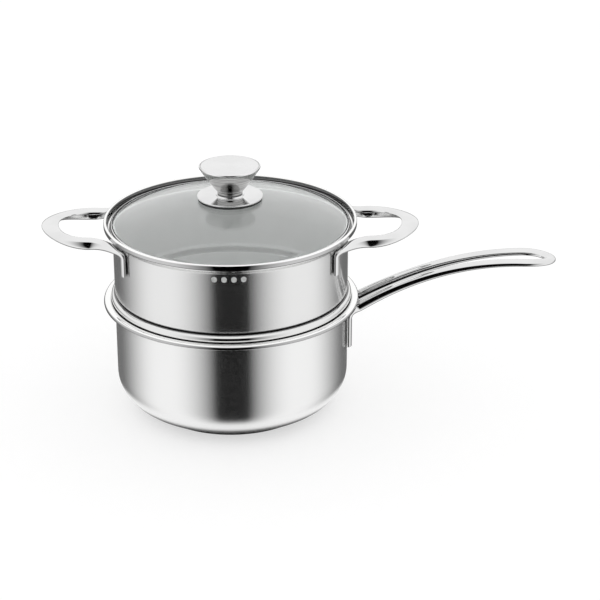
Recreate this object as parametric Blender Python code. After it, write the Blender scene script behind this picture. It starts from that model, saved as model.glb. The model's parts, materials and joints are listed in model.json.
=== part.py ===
"""Two-tier steamer pot: a saucepan with a steamer insert and a glass lid.

Metres, +Z up.  The origin is the centre of the underside, on the axis of the
pots, and the long handle points along +X.
"""
import math

import bmesh
import bpy
import numpy as np
from mathutils import Vector
from mathutils.geometry import interpolate_bezier

# Driving dimensions of the two pots
bore_radius = 0.1000
sheet = 0.0010
saucepan_height = 0.1021
base_corner_radius = 0.0300
rim_to_rim = 0.0708
steamer_depth_in_pan = 0.0146
neck_clearance = 0.0018
steamer_floor_corner = 0.0050

# Pouring rim of the saucepan
rim_flare_radius = 0.0072
rim_crest_width = 0.0005
rim_roll_radius = 0.0030
rim_skirt = 0.0003

# Rim of the steamer, with a sloping seat for the lid below it
seat_flare_radius = 0.0020
seat_slope = 45
seat_length = 0.0040
seat_corner_radius = 0.0015
seat_wall_slope = 75
seat_wall_length = 0.0042
lip_roll_radius = 0.0021
lip_skirt = 0.0024

# Bead, groove and tuck at the foot of the steamer's wall
bead_radius = 0.0042
bead_reach = 0.0014
groove_depth = 0.0018
groove_height = 0.0042
tuck_height = 0.0160

# Base of the saucepan
core_thickness = 0.0036
cap_inset = 0.0276
cap_sheet = 0.0008
cap_edge_radius = 0.0030

# Gaps between pieces
seat_gap = 0.0003
screw_gap = 0.0005
under_lip_gap = 0.0005

# Holes of the steamer
vent_hole_radius = 0.0025
vent_hole_count = 4
vent_hole_pitch = 0.00805
vent_hole_drop = 0.0122
floor_hole_radius = 0.0030
floor_hole_margin = 0.0050
floor_ring_pitch = 0.0260
floor_holes_per_ring = 6
drill_length = 0.0060

# Long handle of the saucepan, with reaches measured from the wall
handle_length = 0.1793
handle_crest_reach = 0.1480
handle_crest_rise = 0.0349
handle_root_width = 0.0066
handle_root_thickness = 0.0064
handle_tip_width = 0.0096
handle_tip_thickness = 0.0042
handle_leg_width = 0.0080
handle_leg_thickness = 0.0045
handle_leg_offset = 0.0174
handle_foot_drop = 0.0415
handle_bend_drop = 0.0165
handle_root_offset = 0.0115
handle_waist_reach = 0.0470
handle_waist_offset = 0.0070
handle_middle_reach = 0.0950
handle_middle_offset = 0.0080
handle_end_reach = 0.1530
handle_end_offset = 0.0124

# Side handles of the steamer, with reaches measured from the wall
ear_length = 0.0605
ear_straight_reach = 0.0175
ear_half_spacing = 0.0350
ear_leg_offset = 0.0510
ear_root_rise = 0.0009
ear_rod_width = 0.0096
ear_rod_thickness = 0.0052
ear_tip_width = 0.0145
ear_tip_thickness = 0.0032
ear_tip_rise = 0.0034
ear_leg_width = 0.0072
ear_leg_thickness = 0.0036
ear_foot_drop = 0.0305
ear_bend_drop = 0.0165
ear_bank = math.radians(16.0)

# Shares of a leg's bend that keep its first and its last direction
bend_softness = 0.75
bend_run = 0.50

# Lid
glass_thickness = 0.0032
glass_edge_reach = 0.0008
glass_rise = 0.0218
glass_hole_radius = 0.0060
band_sheet = 0.0005
band_upper_lip = 0.0012
band_lower_lip = 0.0024

# Knob and its cap
knob_height = 0.0247
knob_neck_radius = 0.0108
knob_top_radius = 0.0261
knob_edge_height = 0.0014
knob_rim_width = 0.0009
knob_cap_thickness = 0.0012
knob_cap_dome = 0.0006

# Plate under the knob, seals and fixings
plate_radius = 0.0282
plate_hub_radius = 0.0125
plate_hub_thickness = 0.0021
plate_edge_height = 0.0022
plate_edge_width = 0.0011
seal_thickness = 0.0009
lower_seal_radius = 0.0130
lower_seal_thickness = 0.0015
bush_wall = 0.0022
washer_radius = 0.0095
washer_thickness = 0.0010
spring_washer_radius = 0.0050
spring_washer_thickness = 0.0012
screw_radius = 0.0025
screw_head_radius = 0.0048
screw_head_height = 0.0030
screw_reach_in_knob = 0.0080
insert_radius = 0.0050
insert_height = 0.0090

# Facets round large and small turned pieces, and round a rod
pot_facets = 36
knob_facets = 28
small_facets = 16
rod_facets = 8
vent_hole_facets = 12
floor_hole_facets = 8
rod_squareness = 0.80

# Worked out from the above
wall_radius = bore_radius + sheet
cap_radius = wall_radius - cap_inset
neck_radius = bore_radius - neck_clearance
glass_edge_radius = bore_radius + glass_edge_reach
flare_centre_radius = bore_radius + rim_flare_radius
lip_radius = flare_centre_radius + rim_crest_width + rim_roll_radius
lip_bottom_drop = rim_roll_radius + rim_skirt
steamer_lip_drop = lip_roll_radius + lip_skirt
base_height = cap_sheet + core_thickness + 2 * seat_gap
steamer_rim = saucepan_height + rim_to_rim
steamer_floor = saucepan_height - steamer_depth_in_pan


def arc(centre, radius, start, end, steps):
    """Points (r, z) on an arc; the angles are degrees from +r towards +z."""
    turns = np.radians(np.linspace(start, end, steps + 1))
    return [(centre[0] + radius * math.cos(t), centre[1] + radius * math.sin(t)) for t in turns]


def bent_path(start, bends, skirt, depth):
    """Face of a sheet that starts straight up and is bent, 0 being its upper face.

    A bend holds the straight run before it, its turn in degrees, outwards when
    positive, the upper face's radius and its steps.
    """
    place = np.array(start)
    heading = 90.0
    path = [tuple(place + depth * outward(heading))]
    for run, turn, radius, steps in bends:
        place = place + run * along(heading)
        side = math.copysign(radius, turn)
        centre = place + side * outward(heading)
        if run > 0.0:
            path.append(tuple(place + depth * outward(heading)))
        for step in range(1, steps + 1):
            now = heading - turn * step / steps
            path.append(tuple(centre + (depth - side) * outward(now)))
        heading -= turn
        place = centre - side * outward(heading)
    path.append(tuple(place + skirt * along(heading) + depth * outward(heading)))
    return path


def along(heading):
    """Unit step in (r, z) for a heading in degrees, 90 being straight up."""
    return np.array([math.cos(math.radians(heading)), math.sin(math.radians(heading))])


def outward(heading):
    """Unit step to the right of a heading, away from the axis when it points up."""
    return along(heading - 90.0)


def saucepan_rim(depth):
    """The pouring rim's face, a quarter flare and a quarter roll."""
    start = (bore_radius, saucepan_height - rim_flare_radius)
    bends = [(0.0, 90.0, rim_flare_radius, 4), (rim_crest_width, 90.0, rim_roll_radius, 3)]
    return bent_path(start, bends, rim_skirt, depth)


def steamer_bends():
    """Bends of the steamer's rim: the lid's seat, the wall above it and the lip."""
    return [
        (0.0, 90 - seat_slope, seat_flare_radius, 2),
        (seat_length, seat_slope - seat_wall_slope, seat_corner_radius, 1),
        (seat_wall_length, seat_wall_slope, lip_roll_radius, 3),
        (0.0, 90.0, lip_roll_radius, 3),
    ]


def steamer_rim_path(depth):
    """The steamer's rim from the top of its straight wall to the end of its lip."""
    return bent_path((bore_radius, seat_start), steamer_bends(), lip_skirt, depth)


def saucepan_path(depth):
    """The saucepan's face from the floor to the lip, 0 being the inner face."""
    corner = (wall_radius - base_corner_radius, base_height + base_corner_radius)
    return arc(corner, base_corner_radius - sheet + depth, -90, 0, 5) + saucepan_rim(depth)


def bead_centre():
    """Centre of the bead's section, where it rests in the saucepan's flare."""
    radius = bore_radius + bead_reach - bead_radius
    across = flare_centre_radius - radius
    apart = rim_flare_radius + bead_radius + seat_gap
    return radius, saucepan_height - rim_flare_radius + math.sqrt(apart**2 - across**2)


def steamer_path(depth):
    """The steamer's face from the floor to the lip, 0 being the inner face."""
    neck = neck_radius - sheet + depth
    groove = wall_radius - groove_depth - sheet + depth
    wall = bore_radius + depth
    bead_r, bead_z = bead_centre()
    section = bead_radius - sheet + depth
    low = -math.degrees(math.acos((neck - bead_r) / section))
    high = math.degrees(math.acos((groove - bead_r) / section))
    corner = (neck + sheet - depth - steamer_floor_corner, steamer_floor + steamer_floor_corner)
    path = arc(corner, steamer_floor_corner - sheet + depth, -90, 0, 3)
    path += arc((bead_r, bead_z), section, low, high, 5)
    tuck_start = bead_z + bead_radius + groove_height
    for step in np.linspace(0.0, 1.0, 3):
        out = math.sin(0.5 * math.pi * step)
        path.append((groove + (wall - groove) * out, tuck_start + tuck_height * step))
    return path + steamer_rim_path(depth)


def shell_profile(path_at):
    """A sheet's closed outline: its outer face up, then its inner face down."""
    return path_at(sheet) + path_at(0.0)[::-1]


def glass_top(radius):
    """Height of the dome's upper face, a sphere through its edge and its crown."""
    sphere = (glass_edge_radius**2 + glass_rise**2) / (2 * glass_rise)
    return glass_crown - sphere + math.sqrt(sphere**2 - radius**2)


def glass_bottom(radius):
    """Height of the dome's lower face, straight below the upper one."""
    return glass_top(radius) - glass_thickness


# The steamer's rim, then heights in the lid from its seat up to the knob
rim_from_start = bent_path((bore_radius, 0.0), steamer_bends(), lip_skirt, 0.0)
seat_start = steamer_rim - max(height for radius, height in rim_from_start)
nose_radius = 0.5 * glass_thickness + seat_gap + band_sheet
nose_reach = glass_edge_radius - bore_radius - seat_flare_radius * (1 - math.sin(math.radians(seat_slope)))
nose_over_seat = (nose_radius + seat_gap) / math.cos(math.radians(seat_slope))
seat_foot = seat_start + seat_flare_radius * math.cos(math.radians(seat_slope))
nose_height = seat_foot + nose_reach * math.tan(math.radians(seat_slope)) + nose_over_seat
glass_crown = nose_height + 0.5 * glass_thickness + glass_rise
seal_radius = plate_radius - plate_edge_width - seat_gap
plate_bottom = seat_gap + seal_thickness + seat_gap
hub_top = glass_crown + plate_bottom + plate_hub_thickness
knob_base = hub_top + seat_gap
lower_seal_bottom = glass_bottom(lower_seal_radius) - seat_gap - lower_seal_thickness
washer_bottom = lower_seal_bottom - seat_gap - washer_thickness
spring_washer_bottom = washer_bottom - seat_gap - spring_washer_thickness
screw_head_top = spring_washer_bottom - seat_gap


def clear_scene():
    """Remove every object that the file holds."""
    for old in list(bpy.data.objects):
        bpy.data.objects.remove(old, do_unlink=True)


def material(name, colour, roughness, metallic, alpha=1.0):
    """A Principled material of one plain colour."""
    made = bpy.data.materials.new(name)
    made.use_nodes = True
    shader = made.node_tree.nodes["Principled BSDF"]
    shader.inputs["Base Color"].default_value = (*colour, 1.0)
    shader.inputs["Roughness"].default_value = roughness
    shader.inputs["Metallic"].default_value = metallic
    shader.inputs["Alpha"].default_value = alpha
    return made


def empty(name, height, parent=None):
    """An empty on the pots' axis, which a group of pieces hangs from."""
    made = bpy.data.objects.new(name, None)
    bpy.context.scene.collection.objects.link(made)
    made.parent = parent
    made.location.z = height - (parent.matrix_world.translation.z if parent else 0.0)
    bpy.context.view_layer.update()
    return made


def add_object(name, mesh_data, parent, finish):
    """Link a mesh whose points are given in the whole pot's frame."""
    height = parent.matrix_world.translation.z
    bmesh.ops.recalc_face_normals(mesh_data, faces=mesh_data.faces[:])
    for vertex in mesh_data.verts:
        vertex.co.z -= height
    mesh = bpy.data.meshes.new(name)
    mesh_data.to_mesh(mesh)
    mesh_data.free()
    mesh.shade_smooth()
    mesh.set_sharp_from_angle(angle=math.radians(35))
    made = bpy.data.objects.new(name, mesh)
    bpy.context.scene.collection.objects.link(made)
    made.parent = parent
    if finish is not None:
        mesh.materials.append(finish)
    return made


def turned(name, profile, facets, parent, finish, capped=True):
    """Turn an outline of (r, z) points about the axis.

    A capped outline runs between two flat discs; the other kind is a ring's
    section, whose last point joins the first.
    """
    made = bmesh.new()
    rings = []
    for radius, height in profile:
        ring = []
        for k in range(facets):
            turn = math.tau * k / facets
            ring.append(made.verts.new((radius * math.cos(turn), radius * math.sin(turn), height)))
        rings.append(ring)
    pairs = list(zip(rings, rings[1:]))
    if capped:
        made.faces.new(rings[0])
        made.faces.new(rings[-1])
    else:
        pairs.append((rings[-1], rings[0]))
    for low, high in pairs:
        for k in range(facets):
            after = (k + 1) % facets
            made.faces.new((low[k], low[after], high[after], high[k]))
    return add_object(name, made, parent, finish)


def disc_ring(inner, outer, low, high):
    """Section of a flat washer."""
    return [(inner, low), (outer, low), (outer, high), (inner, high)]


def drill(target, name, holes, facets):
    """Cut round holes, each given by its centre, axis, radius and length."""
    made = bmesh.new()
    for centre, axis, radius, length in holes:
        turn = Vector((0, 0, 1)).rotation_difference(Vector(axis)).to_matrix().to_4x4()
        turn.translation = Vector(centre)
        bmesh.ops.create_cone(
            made, cap_ends=True, segments=facets, radius1=radius, radius2=radius, depth=length, matrix=turn
        )
    cutter = add_object(name, made, target.parent, None)
    cutter.hide_render = True
    cutter.display_type = "WIRE"
    cut = target.modifiers.new("holes", "BOOLEAN")
    cut.operation = "DIFFERENCE"
    cut.solver = "EXACT"
    cut.object = cutter


def smooth_through(points, steps):
    """A smooth curve through points, level with the chord of each one's neighbours."""
    points = [Vector(p) for p in points]
    slopes = [points[1] - points[0]]
    slopes += [(after - before) / 2 for before, after in zip(points, points[2:])]
    slopes.append(points[-1] - points[-2])
    curve = [points[0]]
    for k in range(len(points) - 1):
        first = points[k] + slopes[k] / 3
        second = points[k + 1] - slopes[k + 1] / 3
        curve += interpolate_bezier(points[k], first, second, points[k + 1], steps + 1)[1:]
    return curve


def rod(name, stations, parent, finish):
    """Carry a rounded section along stations and back on the mirrored side.

    A station holds its centre, its plan heading, its width, its thickness and
    its bank, which lowers the outer edge.
    """
    back = []
    for centre, heading, width, thickness, bank in stations[-2::-1]:
        back.append((Vector((centre.x, -centre.y, centre.z)), -math.pi - heading, width, thickness, bank))
    whole = stations + back
    centres = np.array([s[0] for s in whole])
    tangents = np.gradient(centres, axis=0)
    made = bmesh.new()
    rings = []
    for (centre, heading, width, thickness, bank), tangent in zip(whole, tangents):
        along = Vector(tangent).normalized()
        across = Vector((-math.sin(heading), math.cos(heading), 0.0))
        across = (across - along * across.dot(along)).normalized()
        upper = along.cross(across)
        outer = across * math.cos(bank) - upper * math.sin(bank)
        upper = along.cross(outer)
        ring = []
        for k in range(rod_facets):
            turn = math.tau * k / rod_facets
            wide = math.copysign(abs(math.cos(turn)) ** rod_squareness, math.cos(turn))
            high = math.copysign(abs(math.sin(turn)) ** rod_squareness, math.sin(turn))
            ring.append(made.verts.new(centre + outer * wide * width / 2 + upper * high * thickness / 2))
        rings.append(ring)
    made.faces.new(rings[0])
    made.faces.new(rings[-1])
    for low, high in zip(rings, rings[1:]):
        for k in range(rod_facets):
            after = (k + 1) % rod_facets
            made.faces.new((low[k], low[after], high[after], high[k]))
    return add_object(name, made, parent, finish)


def leg_top(offset, thickness, bend):
    """Where a leg on the wall starts to bend, and the plan heading it faces."""
    radius = wall_radius + seat_gap + thickness / 2
    heading = math.asin(offset / radius)
    return Vector((radius * math.cos(heading), offset, bend)), heading


def bend_stations(foot, root, slope, start, end, steps=6):
    """A leg from its foot to its bend, then the curve out to the rod's root."""
    centre, heading, width, thickness = start
    stations = [(Vector((centre.x, centre.y, foot)), heading, width, thickness, 0.0)]
    first = centre + Vector((0, 0, bend_softness * (root.z - centre.z)))
    second = root - Vector((1, 0, math.tan(slope))) * bend_run * (root.x - centre.x)
    for k, point in enumerate(interpolate_bezier(centre, first, second, root, steps + 1)):
        share = k / steps
        size = [a + (b - a) * share for a, b in zip((heading, width, thickness, 0.0), end)]
        stations.append((point, *size))
    return stations


def long_handle(parent, finish):
    """The saucepan's hairpin handle, from one foot round the tip to the other."""
    crest = (wall_radius + handle_crest_reach, saucepan_height + handle_crest_rise)
    tip = wall_radius + handle_length - handle_tip_width / 2
    root_reach = lip_radius
    slope_guess = 2 * handle_crest_rise / (crest[0] - root_reach)
    half_height = 0.5 * handle_root_thickness * math.hypot(1.0, slope_guess)
    root_height = saucepan_height - lip_bottom_drop - under_lip_gap - half_height
    sag = (crest[1] - root_height) / (crest[0] - root_reach) ** 2

    def height(reach):
        return crest[1] - sag * (reach - crest[0]) ** 2

    def size(reach):
        share = (reach - root_reach) / (tip - root_reach)
        width = handle_root_width + (handle_tip_width - handle_root_width) * share
        return width, handle_root_thickness + (handle_tip_thickness - handle_root_thickness) * share

    slope = math.atan(2 * sag * (crest[0] - root_reach))
    centre, heading = leg_top(handle_leg_offset, handle_leg_thickness, saucepan_height - handle_bend_drop)
    root = Vector((root_reach, handle_root_offset, root_height))
    start = (centre, heading, handle_leg_width, handle_leg_thickness)
    end = (0.0, handle_root_width, handle_root_thickness, 0.0)
    stations = bend_stations(saucepan_height - handle_foot_drop, root, slope, start, end)
    end_reach = wall_radius + handle_end_reach
    plan = smooth_through(
        [
            (root_reach, handle_root_offset, 0.0),
            (wall_radius + handle_waist_reach, handle_waist_offset, 0.0),
            (wall_radius + handle_middle_reach, handle_middle_offset, 0.0),
            (end_reach, handle_end_offset, 0.0),
        ],
        7,
    )
    for turn in np.linspace(0.0, 0.5 * math.pi, 9)[1:]:
        reach = end_reach + (tip - end_reach) * math.sin(turn)
        plan.append(Vector((reach, handle_end_offset * math.cos(turn), 0.0)))
    ahead = np.gradient(np.array(plan), axis=0)
    for point, direction in list(zip(plan, ahead))[1:]:
        heading = math.atan2(direction[1], direction[0])
        stations.append((Vector((point.x, point.y, height(point.x))), heading, *size(point.x), 0.0))
    centre, heading, *rest = stations[-1]
    stations[-1] = (centre, -0.5 * math.pi, *rest)
    return rod("long_handle", stations, parent, finish)


def side_handle(name, turn, parent, finish):
    """A loop handle of the steamer, built towards +X and turned about the axis."""
    half_height = 0.5 * math.hypot(ear_rod_width * math.sin(ear_bank), ear_rod_thickness * math.cos(ear_bank))
    lip_bottom = steamer_rim - steamer_lip_drop
    root_height = lip_bottom - under_lip_gap + ear_root_rise - half_height
    tip = wall_radius + ear_length - ear_tip_width / 2
    straight = wall_radius + ear_straight_reach
    centre, heading = leg_top(ear_leg_offset, ear_leg_thickness, steamer_rim - ear_bend_drop)
    root = Vector((straight, ear_half_spacing, root_height))
    start = (centre, heading, ear_leg_width, ear_leg_thickness)
    end = (0.0, ear_rod_width, ear_rod_thickness, ear_bank)
    stations = bend_stations(steamer_rim - ear_foot_drop, root, 0.0, start, end, 8)
    for angle in np.linspace(0.0, 0.5 * math.pi, 12)[1:]:
        share = math.sin(angle) ** 2
        point = Vector(
            (
                straight + (tip - straight) * math.sin(angle),
                ear_half_spacing * math.cos(angle),
                root_height + ear_tip_rise * share,
            )
        )
        heading = -math.atan2(ear_half_spacing * math.sin(angle), (tip - straight) * math.cos(angle))
        width = ear_rod_width + (ear_tip_width - ear_rod_width) * share
        thickness = ear_rod_thickness + (ear_tip_thickness - ear_rod_thickness) * share
        stations.append((point, heading, width, thickness, ear_bank * (1 - 0.5 * share)))
    made = rod(name, stations, parent, finish)
    made.rotation_euler.z = turn
    return made


def band_profile():
    """Section of the steel band, a channel that wraps the glass's edge."""
    centre = (glass_edge_radius, nose_height)
    upper = glass_edge_radius - band_upper_lip
    lower = glass_edge_radius - band_lower_lip
    near = seat_gap
    far = seat_gap + band_sheet
    path = [(lower, glass_bottom(lower) - near), (lower, glass_bottom(lower) - far)]
    path += arc(centre, nose_radius, -90, 90, 6)
    path += [(upper, glass_top(upper) + far), (upper, glass_top(upper) + near)]
    return path + arc(centre, nose_radius - band_sheet, 90, -90, 4)


def glass_profile():
    """Section of the dome between its hole and its edge."""
    radii = np.linspace(glass_hole_radius, glass_edge_radius, 6)
    lower = [(r, glass_bottom(r)) for r in radii]
    return lower + [(r, glass_top(r)) for r in radii[::-1]]


def knob_profile():
    """Outline of the knob, from the pocket of its insert to the seat of its cap."""
    pocket = insert_radius + seat_gap
    recess = knob_top_radius - knob_rim_width
    top = knob_base + knob_height
    flare = knob_top_radius - knob_neck_radius
    tall = knob_height - knob_edge_height
    shares = [(0.02, 0.14), (0.10, 0.20), (0.32, 0.32), (0.50, 0.46), (0.68, 0.70), (1.0, 1.0)]
    side = [(knob_neck_radius + flare * out, knob_base + tall * up, 0.0) for out, up in shares]
    path = [(pocket, knob_base + insert_height + seat_gap)]
    path += [(pocket, knob_base), (knob_neck_radius, knob_base)]
    path += [(p.x, p.y) for p in smooth_through(side, 2)]
    path += [(knob_top_radius, top - knob_edge_height / 3), (knob_top_radius - knob_rim_width / 3, top)]
    path += [(recess, top), (recess, top - knob_cap_thickness - seat_gap)]
    return path


def cap_profile():
    """Outline of the knob's domed cap."""
    low = knob_base + knob_height - knob_cap_thickness
    edge = knob_top_radius - knob_rim_width - seat_gap
    crown = low + knob_cap_thickness
    dome = [(edge * 0.6, crown + knob_cap_dome * 0.64), (edge * 0.2, crown + knob_cap_dome)]
    return [(edge, low), (edge, crown)] + dome


def plate_profile():
    """Section of the plate under the knob, with a lip round the seal."""
    hole = screw_radius + screw_gap
    inside = plate_radius - plate_edge_width
    lip_low = glass_top(plate_radius) + seat_gap
    path = [(hole, glass_crown + plate_bottom)]
    path += [(r, glass_top(r) + plate_bottom) for r in (inside / 2, inside)]
    path += [(inside, lip_low), (plate_radius, lip_low)]
    path += [(plate_radius, lip_low + plate_edge_height * 0.7), (inside, lip_low + plate_edge_height)]
    return path + [(plate_hub_radius, hub_top), (hole, hub_top)]


def upper_seal_profile(hole):
    """Section of the ring between the dome and the plate, curved as the dome is."""
    radii = (hole, 0.5 * (hole + seal_radius), seal_radius)
    low = [(r, glass_top(r) + seat_gap) for r in radii]
    return low + [(r, glass_top(r) + seat_gap + seal_thickness) for r in radii[::-1]]


def lower_seal_profile(hole):
    """Section of the ring under the dome, flat where the washer bears on it."""
    radii = (lower_seal_radius, 0.5 * (hole + lower_seal_radius), hole)
    flat = [(hole, lower_seal_bottom), (lower_seal_radius, lower_seal_bottom)]
    return flat + [(r, glass_bottom(r) - seat_gap) for r in radii]


def screw_profile():
    """Outline of the fixing screw: a rounded head below, and its shank."""
    low = screw_head_top - screw_head_height
    head = arc((screw_head_radius - 0.0012, low + 0.0012), 0.0012, -90, 0, 2)
    return head + [
        (screw_head_radius, screw_head_top),
        (screw_radius, screw_head_top),
        (screw_radius, knob_base + screw_reach_in_knob),
    ]


def vent_holes():
    """The row of steam holes below the steamer's rim, facing -Y."""
    holes = []
    for k in range(vent_hole_count):
        place = (k - (vent_hole_count - 1) / 2) * vent_hole_pitch / wall_radius
        facing = (math.sin(place), -math.cos(place), 0.0)
        centre = (wall_radius * facing[0], wall_radius * facing[1], steamer_rim - vent_hole_drop)
        holes.append((centre, facing, vent_hole_radius, drill_length))
    return holes


def floor_holes():
    """Rings of steam holes in the steamer's floor, and one at its centre."""
    middle = steamer_floor + sheet / 2
    up = (0.0, 0.0, 1.0)
    room = neck_radius - steamer_floor_corner - floor_hole_margin - floor_hole_radius
    holes = [((0.0, 0.0, middle), up, floor_hole_radius, drill_length)]
    for ring in range(1, int(room / floor_ring_pitch) + 1):
        count = floor_holes_per_ring * ring
        for k in range(count):
            turn = math.tau * (k + 0.5) / count
            reach = ring * floor_ring_pitch
            centre = (reach * math.cos(turn), reach * math.sin(turn), middle)
            holes.append((centre, up, floor_hole_radius, drill_length))
    return holes


def build_saucepan(parent, steel, polished, aluminium):
    """The pan, its handle and its three-layer base."""
    turned("saucepan_shell", shell_profile(saucepan_path), pot_facets, parent, steel)
    long_handle(parent, polished)
    edge_centre = (cap_radius - cap_edge_radius, cap_edge_radius)
    cap_top = base_height - seat_gap
    core_arc = cap_edge_radius - cap_sheet - seat_gap
    core = arc(edge_centre, core_arc, -90, 0, 3) + [(edge_centre[0] + core_arc, cap_top)]
    turned("base_core", core, pot_facets, parent, aluminium)
    outside = arc(edge_centre, cap_edge_radius, -90, 0, 4) + [(cap_radius, cap_top)]
    inside = arc(edge_centre, cap_edge_radius - cap_sheet, -90, 0, 4) + [(cap_radius - cap_sheet, cap_top)]
    turned("base_cap", outside + inside[::-1], pot_facets, parent, polished)


def build_steamer(parent, steel, polished):
    """The insert with its holes, and its two loop handles."""
    shell = turned("steamer_shell", shell_profile(steamer_path), pot_facets, parent, steel)
    drill(shell, "vent_cutter", vent_holes(), vent_hole_facets)
    drill(shell, "floor_cutter", floor_holes(), floor_hole_facets)
    side_handle("right_side_handle", 0.0, parent, polished)
    side_handle("left_side_handle", math.pi, parent, polished)


def build_lid(parent, polished, satin, glass, rubber):
    """The domed glass in its band, the knob and what fixes it."""
    hole = screw_radius + screw_gap
    bush_radius = glass_hole_radius - seat_gap
    turned("lid_glass", glass_profile(), pot_facets, parent, glass, capped=False)
    turned("lid_band", band_profile(), pot_facets, parent, polished, capped=False)
    turned("knob_body", knob_profile(), knob_facets, parent, polished)
    turned("knob_cap", cap_profile(), knob_facets, parent, satin)
    turned("knob_plate", plate_profile(), knob_facets, parent, polished, capped=False)
    turned("upper_seal", upper_seal_profile(hole), knob_facets, parent, rubber, capped=False)
    turned("lower_seal", lower_seal_profile(hole), small_facets, parent, rubber, capped=False)
    bush = disc_ring(bush_radius - bush_wall, bush_radius, glass_bottom(0), glass_crown)
    turned("glass_hole_bush", bush, small_facets, parent, rubber, capped=False)
    washer = disc_ring(hole, washer_radius, washer_bottom, washer_bottom + washer_thickness)
    turned("screw_washer", washer, small_facets, parent, satin, capped=False)
    spring_top = spring_washer_bottom + spring_washer_thickness
    spring = disc_ring(hole, spring_washer_radius, spring_washer_bottom, spring_top)
    turned("spring_washer", spring, small_facets, parent, satin, capped=False)
    turned("knob_screw", screw_profile(), small_facets, parent, satin)
    insert = disc_ring(hole, insert_radius, knob_base + seat_gap, knob_base + insert_height)
    turned("knob_insert", insert, small_facets, parent, satin, capped=False)


def main():
    clear_scene()
    steel = material("brushed_steel", (0.62, 0.62, 0.61), 0.34, 1.0)
    polished = material("polished_steel", (0.72, 0.72, 0.72), 0.10, 1.0)
    satin = material("satin_steel", (0.66, 0.66, 0.65), 0.28, 1.0)
    aluminium = material("aluminium", (0.78, 0.78, 0.79), 0.40, 1.0)
    glass = material("lid_glass", (0.80, 0.87, 0.86), 0.04, 0.0, alpha=0.35)
    rubber = material("silicone", (0.06, 0.06, 0.06), 0.60, 0.0)
    pan = empty("saucepan_frame", 0.0)
    steamer = empty("steamer_frame", saucepan_height, pan)
    lid = empty("lid_frame", steamer_rim, steamer)
    build_saucepan(pan, steel, polished, aluminium)
    build_steamer(steamer, steel, polished)
    build_lid(lid, polished, satin, glass, rubber)


main()
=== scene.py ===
# %% [markdown]
# # A two-tier steamer pot
#
# The real object is a stainless steel saucepan, a steamer insert that hangs in
# its mouth and a glass lid with a steel knob.  Nearly all of it is turned or
# pressed sheet, so most pieces here are a section turned about one axis, and
# the handles are a rounded section carried along a bent path.
#
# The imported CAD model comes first.  It fixes where everything is, and every
# piece below is worked out from it, in metres, with +Z up.

# %% The fixed frame
import json
import math

import bpy
import numpy as np
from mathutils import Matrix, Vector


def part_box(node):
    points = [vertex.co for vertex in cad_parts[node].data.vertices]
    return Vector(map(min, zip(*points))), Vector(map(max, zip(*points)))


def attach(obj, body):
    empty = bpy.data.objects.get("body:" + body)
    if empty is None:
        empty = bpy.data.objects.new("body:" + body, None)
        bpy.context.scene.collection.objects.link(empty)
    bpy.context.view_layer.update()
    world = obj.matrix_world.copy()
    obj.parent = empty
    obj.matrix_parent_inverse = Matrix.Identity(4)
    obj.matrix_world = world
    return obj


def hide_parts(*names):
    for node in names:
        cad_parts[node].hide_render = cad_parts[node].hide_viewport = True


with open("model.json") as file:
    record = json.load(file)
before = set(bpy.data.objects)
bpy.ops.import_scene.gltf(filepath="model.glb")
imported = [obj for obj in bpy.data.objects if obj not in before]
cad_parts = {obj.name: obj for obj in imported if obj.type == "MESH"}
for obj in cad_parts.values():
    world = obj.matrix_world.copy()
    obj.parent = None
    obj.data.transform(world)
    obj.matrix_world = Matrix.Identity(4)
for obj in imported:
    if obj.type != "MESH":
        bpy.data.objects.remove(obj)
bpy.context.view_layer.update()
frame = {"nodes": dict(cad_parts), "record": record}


# %% [markdown]
# ## Sizes
#
# Heights and radii are read from the frame where a box gives them.  What a box
# can't give, such as how tightly a rim is rolled, is written as a real size.

# %% Heights and radii from the frame
def top(node):
    """Height of a node's highest point."""
    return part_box(node)[1].z


def bottom(node):
    """Height of a node's lowest point."""
    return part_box(node)[0].z


def reach(node):
    """Radius of a turned node."""
    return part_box(node)[1].y


pan_rim = top("saucepan_shell")
pan_floor = bottom("saucepan_shell")
steamer_rim = top("steamer_shell")
steamer_floor = bottom("steamer_shell")
print(f"pan {1000 * pan_floor:.1f} to {1000 * pan_rim:.1f} mm")
print(f"steamer {1000 * steamer_floor:.1f} to {1000 * steamer_rim:.1f} mm")

# %% Sizes of the pressed sheet
sheet = 0.0010
half_sheet = sheet / 2
bore = 0.1000
wall = bore + sheet
gap = 0.0003

base_corner = 0.0300
flare_radius = 0.0072
crest_width = 0.0005
pan_roll = 0.0030
pan_roll_skirt = 0.0003

hole_radius = 0.0030
neck = bore - 0.0018
floor_corner = 0.0050
bead_radius = 0.0038
bead_reach = 0.0043
groove = wall - 0.0018
tuck_height = 0.0026

seat_flare = 0.0020
seat_slope = 45.0
seat_length = 0.0040
shelf_slope = 5.0
shelf_length = 0.0004
seat_corner = 0.0010
seat_wall_slope = 88.0
seat_wall = 0.0040
lip_roll = 0.00135
lip_skirt = 0.0030
lip_drop = 0.0045

# %% [markdown]
# ## Sections
#
# A turned piece starts as a line of (r, z) points.  Two kinds of stretch make
# every such line: straight runs and arcs.  `bent` strings them together as a
# press brake would, by running straight and then turning by an angle.

# %% Arcs and bent lines
def arc(centre, radius, start, end, step=8.0):
    """Points at centre + radius (cos t, sin t), with t from start to end in degrees."""
    turns = np.radians(np.linspace(start, end, max(3, round(abs(end - start) / step) + 1)))
    return np.column_stack([centre[0] + radius * np.cos(turns), centre[1] + radius * np.sin(turns)])


def along(heading):
    """The unit step (cos h, sin h) of a heading in degrees."""
    return np.array([math.cos(math.radians(heading)), math.sin(math.radians(heading))])


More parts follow.
